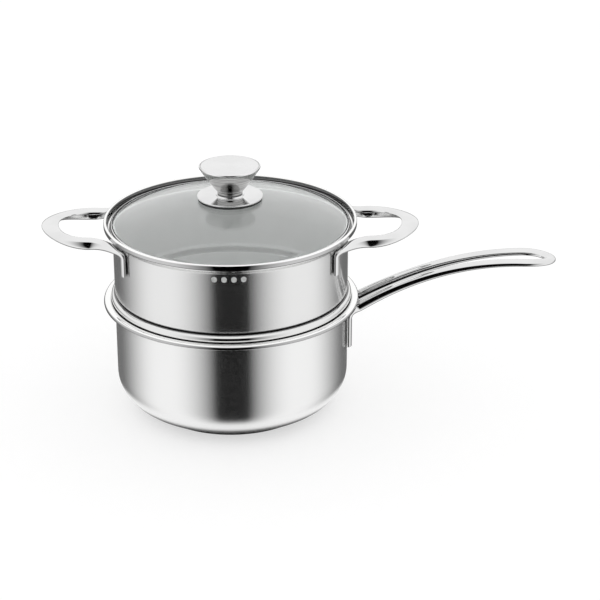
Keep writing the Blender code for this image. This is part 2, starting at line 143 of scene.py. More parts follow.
def bent(start, heading, bends):
    """Line from start: for each bend a run of its length, then an arc about the
    point one radius to the left or right of the line, by the signed turn."""
    place = np.array(start, float)
    stretches = [place[None]]
    for run, turn, radius in bends:
        place = place + run * along(heading)
        stretches.append(place[None])
        if turn:
            side = math.copysign(90.0, turn)
            centre = place + radius * along(heading + side)
            curve = arc(centre, radius, heading - side, heading - side + turn, 3.0)
            stretches.append(curve[1:])
            place = curve[-1]
            heading += turn
    return np.vstack(stretches)


def lengths(line):
    """Running length of a line: the sum of the distances between its points."""
    steps = np.linalg.norm(np.diff(line, axis=0), axis=1)
    return np.concatenate([[0.0], np.cumsum(steps)])


# %% [markdown]
# Sheet metal can't hold a sharp corner.  `soften` averages a line over about a
# millimetre, which rounds what is sharp and leaves long curves as they are.
# `respace` then spreads the points by need: few on a straight run, many where
# the line bends, because the bends are where the steel shows its reflections.

# %% Softening and spacing a line
def soften(line, reach_each_way, steps_each_way=6):
    """Moving average of a line's points over the given length to each side."""
    along_line = lengths(line)
    places = np.arange(0.0, along_line[-1], reach_each_way / steps_each_way)
    fine = np.column_stack([np.interp(places, along_line, line[:, k]) for k in (0, 1)])
    count = 2 * steps_each_way + 1
    window = np.ones(count) / count
    middle = np.column_stack([np.convolve(fine[:, k], window, "valid") for k in (0, 1)])
    return np.vstack([line[:1], middle, line[-1:]])


def respace(line, longest, turn):
    """Points at equal shares of a cost, which grows by one for each longest
    length and by one for each turn in degrees."""
    along_line = lengths(line)
    headings = np.unwrap(np.arctan2(*np.diff(line, axis=0).T[::-1]))
    bending = np.abs(np.diff(headings))
    cost = np.diff(along_line) / longest
    cost[1:] += bending / math.radians(turn) / 2
    cost[:-1] += bending / math.radians(turn) / 2
    total = np.concatenate([[0.0], np.cumsum(cost)])
    wanted = np.linspace(0.0, total[-1], round(total[-1]) + 1)
    return np.column_stack([np.interp(wanted, total, line[:, k]) for k in (0, 1)])


def sheet_faces(line, thickness):
    """Both faces of a sheet: its middle line moved half a thickness along the
    normal (dz, -dr), which points away from the axis on a rising wall."""
    step = np.gradient(line, axis=0)
    step /= np.hypot(*step.T)[:, None]
    normal = np.column_stack([step[:, 1], -step[:, 0]]) * thickness / 2
    return line + normal, line - normal


def round_end(outer, inner):
    """Half circle between the last points of a sheet's two faces."""
    middle = (outer + inner) / 2
    radius = np.hypot(*(outer - inner)) / 2
    start = math.degrees(math.atan2(*(outer - middle)[::-1]))
    return arc(middle, radius, start, start + 180.0, 30.0)[1:-1]


# %% [markdown]
# ## From a section to a mesh
#
# Turning a section is one formula: the point at share k of a turn is
# (r cos t, r sin t, z).  All points are worked out as one array, and so are the
# faces.  A line that starts or ends on the axis gets one pole point there, and
# a ring's section is closed onto itself.  Each piece has a UV map of its own,
# with U running along the section in metres and V once round the axis, so that
# the brushed finish knows which way the scratches run.

# %% Meshes of turned pieces
pieces = {}


def make_piece(node, vertices, faces, uv):
    """A smooth mesh object at the origin that stands in for a node, with sharp
    edges where faces meet at more than 35 degrees.  V is lifted by one where a
    face crosses the seam."""
    name = f"{node}_fine"
    mesh = bpy.data.meshes.new(name)
    mesh.from_pydata(vertices.tolist(), [], [face for group in faces for face in group.tolist()])
    corners = []
    for group in faces:
        corner = uv[group]
        crossing = corner[..., 1].max(axis=1) - corner[..., 1].min(axis=1) > 0.5
        corner[..., 1] += crossing[:, None] * (corner[..., 1] < 0.5)
        corners.append(corner.reshape(-1, 2))
    flat = np.vstack(corners).astype(np.float32).ravel()
    mesh.uv_layers.new(name="UVMap").data.foreach_set("uv", flat)
    mesh.shade_smooth()
    mesh.set_sharp_from_angle(angle=math.radians(35))
    pieces[node] = bpy.data.objects.new(name, mesh)
    bpy.context.scene.collection.objects.link(pieces[node])
    print(f"{name}: {len(mesh.polygons)} faces")


def spin(profile, turns):
    """Grid of points (r cos t, r sin t, z) for every profile point and every turn."""
    radius, height = profile[:, :1], profile[:, 1:]
    return np.stack([radius * np.cos(turns), radius * np.sin(turns), height + 0 * turns], axis=-1)


def numbered(rows, columns):
    """Point numbers of a grid, row by row."""
    return np.arange(rows * columns).reshape(rows, columns)


def grid_uv(u, v):
    """UV of a grid's points, from U of each row and V of each column."""
    return np.stack(np.broadcast_arrays(u[:, None], v), axis=-1).reshape(-1, 2)


def grid_faces(index):
    """Quads between neighbouring rows and columns of a grid of point numbers,
    whose columns close into a ring."""
    after = np.roll(index, -1, axis=1)
    return np.stack([index[:-1], after[:-1], after[1:], index[1:]], axis=-1)


def turned(node, profile, columns=288, ring=False, shape=None):
    """A section turned about the axis.  Its points run so that the outside is on
    their right, and a ring's last point joins its first.  A shape function may
    still move the points."""
    turns = np.linspace(0.0, math.tau, columns, endpoint=False)
    on_axis = profile[:, 0] < 1e-7
    rows = profile[~on_axis]
    points = spin(rows, turns)
    if shape is not None:
        points = shape(points)
    index = numbered(len(rows), columns)
    lines = np.vstack([index, index[:1]]) if ring else index
    faces = [grid_faces(lines).reshape(-1, 4)]
    vertices = [points.reshape(-1, 3)]
    u = lengths(profile)
    uv = [grid_uv(u[~on_axis], turns / math.tau)]
    for end, row in ((0, index[0]), (-1, index[-1])):
        if on_axis[end]:
            pole = sum(len(v) for v in vertices)
            vertices.append([[0.0, 0.0, profile[end, 1]]])
            uv.append([[u[end], 0.5]])
            after = np.roll(row, -1)
            around = (after, row) if end == 0 else (row, after)
            faces.append(np.column_stack([*around, np.full(columns, pole)]))
    make_piece(node, np.vstack(vertices), faces, np.vstack(uv))


# %% [markdown]
# ## The saucepan
#
# The pan is one pressed sheet: a flat floor, a wide corner, a straight wall and
# a pouring rim that flares outwards and rolls down.  Its middle line is bent
# step by step and the sheet's two faces are laid on both sides of it, so the
# wall has the same thickness everywhere, as real sheet does.

# %% The saucepan's shell
def pan_line():
    """Floor, corner, wall, flare, crest and roll, along the sheet's middle."""
    wall_run = pan_rim - flare_radius - pan_floor - base_corner
    return bent((0.0, pan_floor + half_sheet), 0.0, [
        (wall - base_corner, 90.0, base_corner - half_sheet),
        (wall_run, -90.0, flare_radius - half_sheet),
        (crest_width, -90.0, pan_roll - half_sheet),
        (pan_roll_skirt, 0.0, 0.0),
    ])


def pot_section(line, thickness, lip):
    """Outline of a sheet that starts on the axis: its outer face outwards and
    up, a round lip if it has one, and its inner face back."""
    outer, inner = sheet_faces(respace(line, longest=0.008, turn=9.0), thickness)
    nose = [round_end(outer[-1], inner[-1])] if lip else []
    outline = np.vstack([outer, *nose, inner[::-1]])
    outline[[0, -1], 0] = 0.0
    return outline


pan_section = pot_section(pan_line(), sheet, True)
turned("saucepan_shell", pan_section)

# %% [markdown]
# Under the pan sits its capsule base: a disc of aluminium inside a shallow
# steel cup.  Only the cup shows, as a polished ring below the pan's corner.

# %% The capsule base
cap_edge = 0.0030
cap_sheet = 0.0008


def cap_line():
    """Floor of the cup, its rounded edge and its short wall."""
    half = cap_sheet / 2
    floor_run = reach("base_cap") - cap_edge
    rise = top("base_cap") - cap_edge
    return bent((0.0, half), 0.0, [(floor_run, 90.0, cap_edge - half), (rise, 0.0, 0.0)])


turned("base_cap", pot_section(cap_line(), cap_sheet, False))

# %% [markdown]
# ## The steamer
#
# The insert is the same sheet with more bends.  Its floor and a short neck hang
# in the pan, and a bead rests in the pan's flare.  A sharp tuck leads from the
# bead out to the wall, and the rim has a sloping seat for the lid, a short wall
# round it and a lip that is rolled down.

# %% The steamer's middle line
rim_bends = [
    (0.0, seat_slope - 90.0, seat_flare - half_sheet),
    (seat_length, shelf_slope - seat_slope, seat_corner),
    (shelf_length, seat_wall_slope - shelf_slope, seat_corner + half_sheet),
    (seat_wall, -seat_wall_slope, lip_roll - half_sheet),
    (0.0, -90.0, lip_roll - half_sheet),
    (lip_skirt, 0.0, 0.0),
]
rim_alone = bent((bore + half_sheet, 0.0), 90.0, rim_bends)
seat_start = steamer_rim - half_sheet - rim_alone[:, 1].max()
print(f"lid's seat from {1000 * seat_start:.1f} mm")


def bead_place():
    """Centre of the bead, where it touches the pan's flare from above."""
    radius = bore + bead_reach - bead_radius
    across = bore + flare_radius - radius
    apart = flare_radius + bead_radius + gap
    return radius, pan_rim - flare_radius + math.sqrt(apart**2 - across**2)


def steamer_line():
    """Floor, neck, bead, tuck, wall and rim, along the sheet's middle.  The tuck
    widens by (wall - groove) sin(90 degrees * share of its height)."""
    floor = bent((hole_radius, steamer_floor + half_sheet), 0.0, [
        (neck - floor_corner - hole_radius, 90.0, floor_corner - half_sheet),
    ])
    bead_r, bead_z = bead_place()
    section = bead_radius - half_sheet
    low = -math.degrees(math.acos((neck - half_sheet - bead_r) / section))
    high = math.degrees(math.acos((groove - half_sheet - bead_r) / section))
    bead = arc((bead_r, bead_z), section, low, high, 3.0)
    share = np.linspace(0.0, 1.0, 40)
    tuck = np.column_stack([
        groove - half_sheet + (wall - groove) * np.sin(0.5 * math.pi * share),
        bead_z + bead_radius + tuck_height * share,
    ])
    rim = bent((bore + half_sheet, seat_start), 90.0, rim_bends)
    return soften(np.vstack([floor, bead, tuck, rim]), 0.0006)


# %% [markdown]
# Four vent holes sit in a row under the rim at the front, and the floor has
# rings of steam holes.  A Boolean would cut them, but it leaves long thin faces
# that dent the reflections, so the holes are meshed by construction.  A block
# of the grid round each hole is taken out and replaced by rings of quads that
# lead from the block's square outline to the hole's circle, on both faces, and
# a strip between the two circles is the wall of the hole.

# %% Where the holes are
vent_radius = 0.0025
vent_pitch = 0.00805
vent_height = steamer_rim - 0.0156
vent_turns = [1.5 * math.pi + (k - 1.5) * vent_pitch / wall for k in range(4)]
floor_ring_pitch = 0.0260
floor_holes = [
    (ring * floor_ring_pitch, math.tau * (k + 0.5) / (6 * ring))
    for ring in (1, 2, 3)
    for k in range(6 * ring)
]
print(f"{len(vent_turns)} vent holes, {len(floor_holes) + 1} floor holes")


# %% A grid with holes
class PunchedShell:
    """Both faces of a turned sheet as one grid, in which round holes are made.

    A point of the sheet is given by its length u along the middle line and its
    turn t.  Row i of the outer face and row i of the inner face lie on the same
    normal, so a hole has the same outline on both.
    """

    def __init__(self, line, turns):
        self.u = lengths(line)
        self.turns = turns
        self.outer, self.inner = sheet_faces(line, sheet)
        nose = round_end(self.outer[-1], self.inner[-1])
        self.profile = np.vstack([self.outer, nose, self.inner[::-1], self.outer[:1]])
        count = len(self.profile) - 1
        points = spin(self.profile[:-1], turns)
        index = numbered(count, len(turns))
        self.index = np.vstack([index, index[:1]])
        self.quads = grid_faces(self.index)
        self.kept = np.ones(self.quads.shape[:2], bool)
        self.uv = [grid_uv(lengths(self.profile)[:-1], turns / math.tau)]
        self.vertices = [points.reshape(-1, 3)]
        self.faces = []
        self.size = count * len(turns)

    def add_points(self, u, turn, face, flip):
        """Points of one face at lengths u and turns, and their numbers."""
        radius = np.interp(u, self.u, face[:, 0])
        height = np.interp(u, self.u, face[:, 1])
        self.vertices.append(np.column_stack([radius * np.cos(turn), radius * np.sin(turn), height]))
        total = lengths(self.profile)[-1]
        self.uv.append(np.column_stack([total - u if flip else u, turn / math.tau]))
        numbers = np.arange(self.size, self.size + len(u))
        self.size += len(u)
        return numbers

    def block(self, u, turn):
        """Rows and columns, once round its outline, of the smallest block that
        holds all given points."""
        low = np.searchsorted(self.u, u.min()) - 1
        high = np.searchsorted(self.u, u.max())
        left = np.searchsorted(self.turns, turn.min()) - 1
        right = np.searchsorted(self.turns, turn.max())
        rows, columns = np.arange(low, high + 1), np.arange(left, right + 1)
        across, up = np.ones(len(columns) - 1, int), np.ones(len(rows) - 1, int)
        loop_rows = [low * across, rows[:-1], high * across, rows[:0:-1]]
        loop_columns = [columns[:-1], right * up, columns[:0:-1], left * up]
        return np.concatenate(loop_rows), np.concatenate(loop_columns)

    def punch(self, radius, to_plane, from_plane, rings=3):
        """Make a hole round the origin of a plane laid on the sheet, whose points
        from_plane turns into (u, t) and to_plane back."""
        room = 1.25 * radius
        bearing = np.linspace(0.0, math.tau, 48)
        rows, columns = self.block(*from_plane(room * np.cos(bearing), room * np.sin(bearing)))
        across, up = to_plane(self.u[rows], self.turns[columns])
        bearing = np.arctan2(up, across)
        last = len(self.profile) - 2
        circles = []
        for face, flip in ((self.outer, False), (self.inner, True)):
            face_rows = last - rows if flip else rows
            before = self.index[face_rows, columns]
            self.kept[face_rows.min():face_rows.max(), columns.min():columns.max()] = False
            for share in np.linspace(0.0, 1.0, rings + 1)[1:]:
                a = across + share * (radius * np.cos(bearing) - across)
                b = up + share * (radius * np.sin(bearing) - up)
                now = self.add_points(*from_plane(a, b), face, flip)
                self.join(before, now, flip)
                before = now
            circles.append(before)
        self.join(circles[0], circles[1], False)

    def join(self, first, second, flip):
        """Quads between two loops of the same number of points."""
        strip = np.column_stack([first, np.roll(first, -1), np.roll(second, -1), second])
        self.faces.append(strip[:, ::-1] if flip else strip)

    def piece(self, node):
        """Make the finished mesh."""
        faces = np.vstack([self.quads[self.kept]] + self.faces)
        make_piece(node, np.vstack(self.vertices), [faces], np.vstack(self.uv))


# %% [markdown]
# The columns of the grid are close together across the row of vent holes and
# further apart on the rest of the turn.  The plane laid on the wall measures
# arc length round the pot and length up the sheet, and the plane laid on the
# floor is the floor itself.

# %% The steamer's shell
def steamer_turns():
    """Columns: fine ones across the vent holes, even ones elsewhere."""
    coarse_columns, fine_columns = 252, 48
    margin = 0.6 * vent_pitch / wall
    left, right = vent_turns[0] - margin, vent_turns[-1] + margin
    coarse = np.linspace(right - math.tau, left, coarse_columns, endpoint=False)
    fine = np.linspace(left, right, fine_columns, endpoint=False)
    both = np.concatenate([coarse, fine])
    return np.sort(np.mod(both + 1e-9, math.tau))


def vent_planes(shell, turn):
    """Ways to and from the plane round a vent hole."""
    crest = shell.outer[:, 1].argmax()
    level = np.interp(vent_height, shell.outer[:crest, 1], shell.u[:crest])

    def to_plane(u, t):
        return (t - turn) * wall, u - level

    def from_plane(a, b):
        return level + b, turn + a / wall

    return to_plane, from_plane


def floor_planes(radius, turn):
    """Ways to and from the plane round a floor hole."""
    x, y = radius * math.cos(turn), radius * math.sin(turn)

    def to_plane(u, t):
        return (u + hole_radius) * np.cos(t) - x, (u + hole_radius) * np.sin(t) - y

    def from_plane(a, b):
        return np.hypot(x + a, y + b) - hole_radius, np.mod(np.arctan2(y + b, x + a), math.tau)

    return to_plane, from_plane


steamer = PunchedShell(respace(steamer_line(), longest=0.0040, turn=12.0), steamer_turns())
for turn in vent_turns:
    steamer.punch(vent_radius, *vent_planes(steamer, turn))
for radius, turn in floor_holes:
    steamer.punch(hole_radius, *floor_planes(radius, turn), rings=2)
steamer.piece("steamer_shell")

# %% [markdown]
# ## Handles
#
# Each handle is one steel rod, bent so that both its ends lie flat on the wall,
# where they are welded.  Its section is a rounded oblong, the superellipse
# (w/2 cos^q t, h/2 sin^q t), and it changes along the way: thin and flat on
# the wall, higher than wide at the root, flat and wide at the tip.  Half the
# rod is worked out and the other half is its mirror image.

# %% A rounded section along a path
rod_squareness = 0.95


def bezier(first, second, third, fourth, share):
    """Curve (1-s)^3 a + 3s(1-s)^2 b + 3s^2(1-s) c + s^3 d for every share s."""
    s = share[:, None]
    return (1 - s)**3 * first + 3 * s * (1 - s)**2 * second + 3 * s**2 * (1 - s) * third + s**3 * fourth


def through(points, steps):
    """Smooth curve through points, its slope at each being half the step from
    the point before to the point after."""
    points = np.array(points, float)
    slopes = np.gradient(points, axis=0)
    share = np.linspace(0.0, 1.0, steps + 1)
    spans = []
    for k in range(len(points) - 1):
        second = points[k] + slopes[k] / 3
        third = points[k + 1] - slopes[k + 1] / 3
        spans.append(bezier(points[k], second, third, points[k + 1], share)[1:])
    return np.vstack([points[:1]] + spans)


def unit(vectors):
    """Vectors divided by their lengths."""
    return vectors / np.linalg.norm(vectors, axis=-1, keepdims=True)


def with_round_foot(stations, edge=0.0008):
    """Stations with a rounded start: at depth e(1-cos a) the section is smaller
    all round by e(1-sin a)."""
    turns = np.radians([0.0, 25.0, 50.0, 75.0])
    step = unit(stations[1:2, :3] - stations[:1, :3])
    foot = np.repeat(stations[:1], len(turns), axis=0)
    foot[:, :3] += step * (edge * (1 - np.cos(turns)))[:, None]
    foot[:, 4:6] -= 2 * (edge * (1 - np.sin(turns)))[:, None]
    first = stations[:1].copy()
    first[:, :3] += step * edge
    return np.vstack([foot, first, stations[1:]])


def rod(node, half, turn=0.0, sides=40):
    """Mesh of a mirrored rod.  A row of half holds a centre, its plan heading,
    width, thickness and bank, which lowers the outer edge."""
    half = with_round_foot(half)
    other = half[-2::-1] * [1, -1, 1, -1, 1, 1, 1]
    other[:, 3] -= math.pi
    rows = np.vstack([half, other])
    centre, heading, width, thick, bank = rows[:, :3], *rows[:, 3:].T
    ahead = unit(np.gradient(centre, axis=0))
    across = np.column_stack([-np.sin(heading), np.cos(heading), 0 * heading])
    across = unit(across - ahead * (ahead * across).sum(axis=1, keepdims=True))
    upper = np.cross(ahead, across)
    outer = across * np.cos(bank)[:, None] - upper * np.sin(bank)[:, None]
    upper = np.cross(ahead, outer)
    around = np.linspace(0.0, math.tau, sides, endpoint=False)
    wide = np.sign(np.cos(around)) * np.abs(np.cos(around))**rod_squareness
    high = np.sign(np.sin(around)) * np.abs(np.sin(around))**rod_squareness
    points = centre[:, None] + outer[:, None] * (wide * width[:, None] / 2)[..., None]
    points = points + upper[:, None] * (high * thick[:, None] / 2)[..., None]
    cosine, sine = math.cos(turn), math.sin(turn)
    points = points @ np.array([[cosine, sine, 0], [-sine, cosine, 0], [0, 0, 1]])
    index = numbered(len(rows), sides)
    ends = points[[0, -1]].mean(axis=1)
    first, last = index[0], index[-1]
    faces = [
        grid_faces(index).reshape(-1, 4),
        np.column_stack([np.roll(first, -1), first, np.full(sides, index.size)]),
        np.column_stack([last, np.roll(last, -1), np.full(sides, index.size + 1)]),
    ]
    u = lengths(centre)
    uv = np.vstack([grid_uv(u, around / math.tau), [[u[0], 0.5], [u[-1], 0.5]]])
    make_piece(node, np.vstack([points.reshape(-1, 3), ends]), faces, uv)
    print(f"rod {1000 * u[-1]:.0f} mm long")


def leg(offset, size, foot, bend):
    """Foot and bend of a leg on the wall, offset to the side of its middle."""
    radius = wall + gap + size[1] / 2
    heading = math.asin(offset / radius)
    x = radius * math.cos(heading)
    return np.array([[x, offset, z, heading, *size, 0.0] for z in (foot, bend)])


def on_leg(foot, root, slope, loop):
    """A leg, the bend from it to the root, and the rest of the loop.  The bend is
    a Bezier curve that leaves straight up and arrives at the rod's slope, while
    the section changes evenly."""
    rise_share, reach_share = 0.75, 0.50
    first, last = foot[1, :3], root[:3]
    second = first + np.array([0.0, 0.0, rise_share * (last[2] - first[2])])
    third = last - np.array([1.0, 0.0, slope]) * reach_share * (last[0] - first[0])
    share = np.linspace(0.0, 1.0, 36)
    size = foot[1, 3:] + (root[3:] - foot[1, 3:]) * share[:, None]
    bend = np.column_stack([bezier(first, second, third, last, share), size])
    return np.vstack([foot, bend[1:], loop[1:]])


# %% [markdown]
# ### The long handle
#
# A hairpin: two legs rise from the wall, come together in a narrow waist, and
# part again into the loop at the tip that the pan hangs by.  Seen from the
# side it climbs to a crest near the tip along a parabola.

# %% The pan's long handle
def long_handle():
    """Half of the hairpin, from its foot to the middle of its tip.  Its height is
    crest - sag (x - crest's x)^2, and sizes are a width and a height."""
    root_size, tip_size, leg_size = (0.0070, 0.0090), (0.0096, 0.0052), (0.0080, 0.0045)
    leg_offset, foot_drop, bend_drop = 0.0174, 0.0438, 0.0175
    crest = wall + 0.1480, pan_rim + 0.0315
    tip = wall + 0.1803 - tip_size[0] / 2
    root = reach("saucepan_shell")
    root_offset, tip_offset, tip_start = 0.0115, 0.0128, wall + 0.1530
    room_under_rim = 0.0005
    half_height = 0.5 * root_size[1] * math.hypot(1.0, 2 * (crest[1] - pan_rim) / (crest[0] - root))
    root_height = pan_rim - pan_roll - pan_roll_skirt - room_under_rim - half_height
    sag = (crest[1] - root_height) / (crest[0] - root)**2
    waist, middle = (wall + 0.0470, 0.0095), (wall + 0.0950, 0.0100)
    plan = through([(root, root_offset), waist, middle, (tip_start, tip_offset)], 24)
    turns = np.linspace(0.0, 0.5 * math.pi, 40)[1:]
    round_tip = [tip_start + (tip - tip_start) * np.sin(turns), tip_offset * np.cos(turns)]
    plan = np.vstack([plan, np.column_stack(round_tip)])
    ahead = np.gradient(plan, axis=0)
    heading = np.arctan2(ahead[:, 1], ahead[:, 0])
    heading[-1] = -0.5 * math.pi
    share = ((plan[:, 0] - root) / (tip - root))[:, None]
    sizes = np.array(root_size) + (np.array(tip_size) - root_size) * share
    height = crest[1] - sag * (plan[:, 0] - crest[0])**2
    loop = np.column_stack([plan, height, heading, sizes, 0 * heading])
    foot = leg(leg_offset, leg_size, pan_rim - foot_drop, pan_rim - bend_drop)
    root_row = np.array([*loop[0, :3], 0.0, *root_size, 0.0])
    return on_leg(foot, root_row, 2 * sag * (crest[0] - root), loop)


rod("long_handle", long_handle())

# %% [markdown]
# ### The side handles
#
# Two loops, high and narrow at the root and wide and thin at the tip, and
# banked a little so that their outer edge is lower.  Both are the same rod, one
# of them turned half a turn about the axis.

# %% The steamer's side handles
def side_handle():
    """Half of the loop, from its foot to the middle of its tip.  Its plan is half
    of an ellipse, and its size, rise and bank change by the sine squared."""
    rod_size, tip_size, leg_size = (0.0090, 0.0104), (0.0145, 0.0034), (0.0084, 0.0038)
    leg_offset, foot_drop, bend_drop = 0.0510, 0.0330, 0.0165
    spacing, rise, bank = 0.0350, 0.0046, math.radians(8.0)
    half_height = 0.5 * math.hypot(rod_size[0] * math.sin(bank), rod_size[1] * math.cos(bank))
    straight = wall + 0.0175
    ahead = wall + 0.0605 - tip_size[0] / 2 - straight
    turns = np.linspace(0.0, 0.5 * math.pi, 72)
    share = np.sin(turns)**2
    loop = np.column_stack([
        straight + ahead * np.sin(turns),
        spacing * np.cos(turns),
        steamer_rim - lip_drop - half_height + rise * share,
        -np.arctan2(spacing * np.sin(turns), ahead * np.cos(turns)),
        np.array(rod_size) + (np.array(tip_size) - rod_size) * share[:, None],
        bank * (1 - 0.5 * share),
    ])
    foot = leg(leg_offset, leg_size, steamer_rim - foot_drop, steamer_rim - bend_drop)
    return on_leg(foot, loop[0], 0.0, loop)


for node, turn in (("right_side_handle", 0.0), ("left_side_handle", math.pi)):
    rod(node, side_handle(), turn)

# %% [markdown]
# ## The lid
#
# The dome is toughened glass, a part of a sphere with a hole at its crown and a
# ground edge.  A steel band is rolled round that edge.  Corners of turned
# solids are never sharp, so their outlines are written as corners with a
# radius, and `rounded` replaces each one by an arc that touches both sides.

# %% Outlines with rounded corners
def rounded(corners):
    """Closed outline: at each corner (r, z, radius) the arc that touches both
    sides, which starts a length radius * tan(half the turn) before it."""
    corners = np.array(corners, float)
    outline = []
    neighbours = zip(np.roll(corners, 1, axis=0), corners, np.roll(corners, -1, axis=0))
    for before, here, after in neighbours:
        inwards, outwards = unit(here[:2] - before[:2]), unit(after[:2] - here[:2])
        turn = math.atan2(inwards[0] * outwards[1] - inwards[1] * outwards[0], inwards @ outwards)
        if here[2] <= 0 or abs(turn) < 0.02:
            outline.append(here[None, :2])
            continue
        start = here[:2] - inwards * here[2] * math.tan(abs(turn) / 2)
        left = np.array([-inwards[1], inwards[0]]) * math.copysign(1.0, turn)
        centre = start + left * here[2]
        first = math.degrees(math.atan2(*(start - centre)[::-1]))
        outline.append(arc(centre, here[2], first, first + math.degrees(turn), 15.0))
    return np.vstack(outline)


def rising(radii, heights):
    """Corners without a radius, for a stretch that is smooth already."""
    return np.column_stack([radii, heights, 0 * radii]).tolist()


# %% The glass dome
glass_edge = reach("lid_glass")
glass_thickness = 0.0032
glass_rise = 0.0218
glass_hole = 0.0060
dome_radius = (glass_edge**2 + glass_rise**2) / (2 * glass_rise)
crown = top("lid_glass") + dome_radius - math.sqrt(dome_radius**2 - glass_hole**2)
nose_height = crown - glass_rise - glass_thickness / 2


def dome(radius):
    """Height of the upper face, the sphere crown - R + sqrt(R^2 - r^2)."""
    return crown - dome_radius + np.sqrt(dome_radius**2 - np.square(radius))


def under(radius):
    """Height of the lower face."""
    return dome(radius) - glass_thickness


def glass_section():
    """Lower face outwards, ground edge, upper face inwards."""
    hole_edge, ground_edge = 0.0004, 0.0010
    radii = np.linspace(glass_hole + 0.001, glass_edge - 0.003, 26)
    return rounded([
        (glass_hole, under(glass_hole), hole_edge),
        *rising(radii, under(radii)),
        (glass_edge, under(glass_edge), ground_edge),
        (glass_edge, dome(glass_edge), ground_edge),
        *rising(radii[::-1], dome(radii)[::-1]),
        (glass_hole, dome(glass_hole), hole_edge),
    ])


turned("lid_glass", glass_section(), ring=True)
print(f"dome of {1000 * dome_radius:.0f} mm radius, crown at {1000 * crown:.1f} mm")

# %% The steel band
band_sheet = 0.0005
band_cover = 0.0024


def band_line():
    """Under the glass and round its edge, along the band's middle."""
    half = band_sheet / 2
    radii = np.linspace(glass_edge - band_cover, glass_edge, 4)[:-1]
    below = np.column_stack([radii, under(radii) - gap - half])
    nose = arc((glass_edge, nose_height), glass_thickness / 2 + gap + half, -80, 64, 4.0)
    return soften(np.vstack([below, nose]), 0.0003)


def band_section():
    """Outer face, round end, inner face, round end."""
    outer, inner = sheet_faces(respace(band_line(), longest=0.001, turn=8.0), band_sheet)
    ends = round_end(outer[-1], inner[-1]), round_end(inner[0], outer[0])
    return np.vstack([outer, ends[0], inner[::-1], ends[1]])


turned("lid_band", band_section(), ring=True)

# %% [markdown]
# ### The knob
#
# A cone turned from steel, with a small curve at its foot.  It stands on a flat
# plate that is bright as a mirror, and a satin disc closes its top.  Under the
# plate a dark silicone ring keeps steel from glass.

# %% The knob and its cap
knob_low, knob_top, knob_reach = bottom("knob_body"), top("knob_body"), reach("knob_body")
knob_neck = 0.0108
knob_rim = 0.0009
knob_edge = 0.0014
pocket_radius = 0.0050 + gap
pocket_top = knob_low + 0.0093


def knob_section():
    """Pocket, foot, side, rim and the seat of the cap.  The side goes through
    points given as shares of its flare and of its height."""
    tall, flare = knob_top - knob_low - knob_edge, knob_reach - knob_neck
    shares = np.array([(0.02, 0.10), (0.12, 0.17), (0.33, 0.35), (0.55, 0.55), (0.78, 0.77), (1.0, 1.0)])
    side = through(shares * [flare, tall] + [knob_neck, knob_low], 6)
    recess = knob_reach - knob_rim
    seat = bottom("knob_cap") - gap
    rim = knob_top - 0.0002
    return rounded([
        (0.0, pocket_top, 0.0),
        (pocket_radius, pocket_top, 0.0002),
        (pocket_radius, knob_low, 0.0003),
        (knob_neck, knob_low, 0.0004),
        *rising(*side[:-1].T),
        (knob_reach, knob_top - knob_edge, 0.0008),
        (knob_reach - 0.0001, rim, 0.0004),
        (recess + 0.0003, knob_top, 0.0002),
        (recess, rim, 0.0001),
        (recess, seat, 0.0002),
        (0.0, seat, 0.0),
    ])


def cap_disc_section():
    """Flat underside, rounded edge and a shallow dome, shoulder + rise (1 - (r/R)^2)."""
    low, high = bottom("knob_cap"), top("knob_cap")
    edge = knob_reach - knob_rim - gap
    shoulder = knob_top - 0.0001
    radii = np.linspace(edge - 0.0006, 0.0, 12)
    crown_heights = shoulder + (high - shoulder) * (1 - (radii / edge)**2)
    return rounded([
        (0.0, low, 0.0),
        (edge, low, 0.0002),
        (edge, shoulder, 0.0004),
        *rising(radii, crown_heights),
    ])


turned("knob_body", knob_section(), 192)
turned("knob_cap", cap_disc_section(), 192)

# %% The plate and the seals
plate_reach = reach("knob_plate")
plate_low = bottom("knob_plate")
plate_top = plate_low + 0.0034
plate_edge = 0.0011
plate_room = 0.0015
hub_radius = 0.0118
seal_top = plate_low + 0.0021
seal_edge = 0.0276
seal_sheet = 0.0009
bolt_hole = 0.0030
bush_hole = 0.0035


def plate_section():
    """Underside above the seal, thin edge, flat top and hub."""
    hub_top = top("knob_plate")
    radii = np.linspace(bolt_hole, plate_reach - plate_edge - 0.0002, 6)
    return rounded([
        *rising(radii, np.maximum(dome(radii) + plate_room, seal_top)),
        (plate_reach, seal_top, 0.0004),
        (plate_reach, plate_top, 0.0005),
        (hub_radius + 0.0004, plate_top, 0.0006),
        (hub_radius, hub_top, 0.0003),
        (bolt_hole, hub_top, 0.0003),
    ])


def seal_section():
    """Ring between dome and plate, curved as the dome is and taller at its edge."""
    radii = np.linspace(bolt_hole + 0.0002, seal_edge - 0.0004, 8)
    flat = seal_top - gap / 2
    thin = dome(radii) + gap + seal_sheet
    return rounded([
        *rising(radii, dome(radii) + gap),
        (seal_edge, dome(seal_edge) + gap, 0.0003),
        (seal_edge, flat, 0.0003),
        *rising(radii[::-1], np.maximum(thin, flat)[::-1]),
    ])


def lower_seal_section():
    """Flat below, and above it follows the dome's lower face."""
    low, outer = bottom("lower_seal"), reach("lower_seal")
    radii = np.linspace(outer, bolt_hole, 7)
    high = under(radii) - gap
    return rounded([
        (bolt_hole, low, 0.0003),
        (outer, low, 0.0003),
        (outer, high[0], 0.0003),
        *rising(radii[1:-1], high[1:-1]),
        (bolt_hole, high[-1], 0.0003),
    ])


def washer_section(node, inner, edge=0.0002, room=0.0):
    """A flat ring as tall and wide as its CAD node, less some room above it, with
    rounded edges."""
    low, high, outer = bottom(node), top(node) - room, reach(node)
    return rounded([(inner, low, edge), (outer, low, edge), (outer, high, edge), (inner, high, edge)])


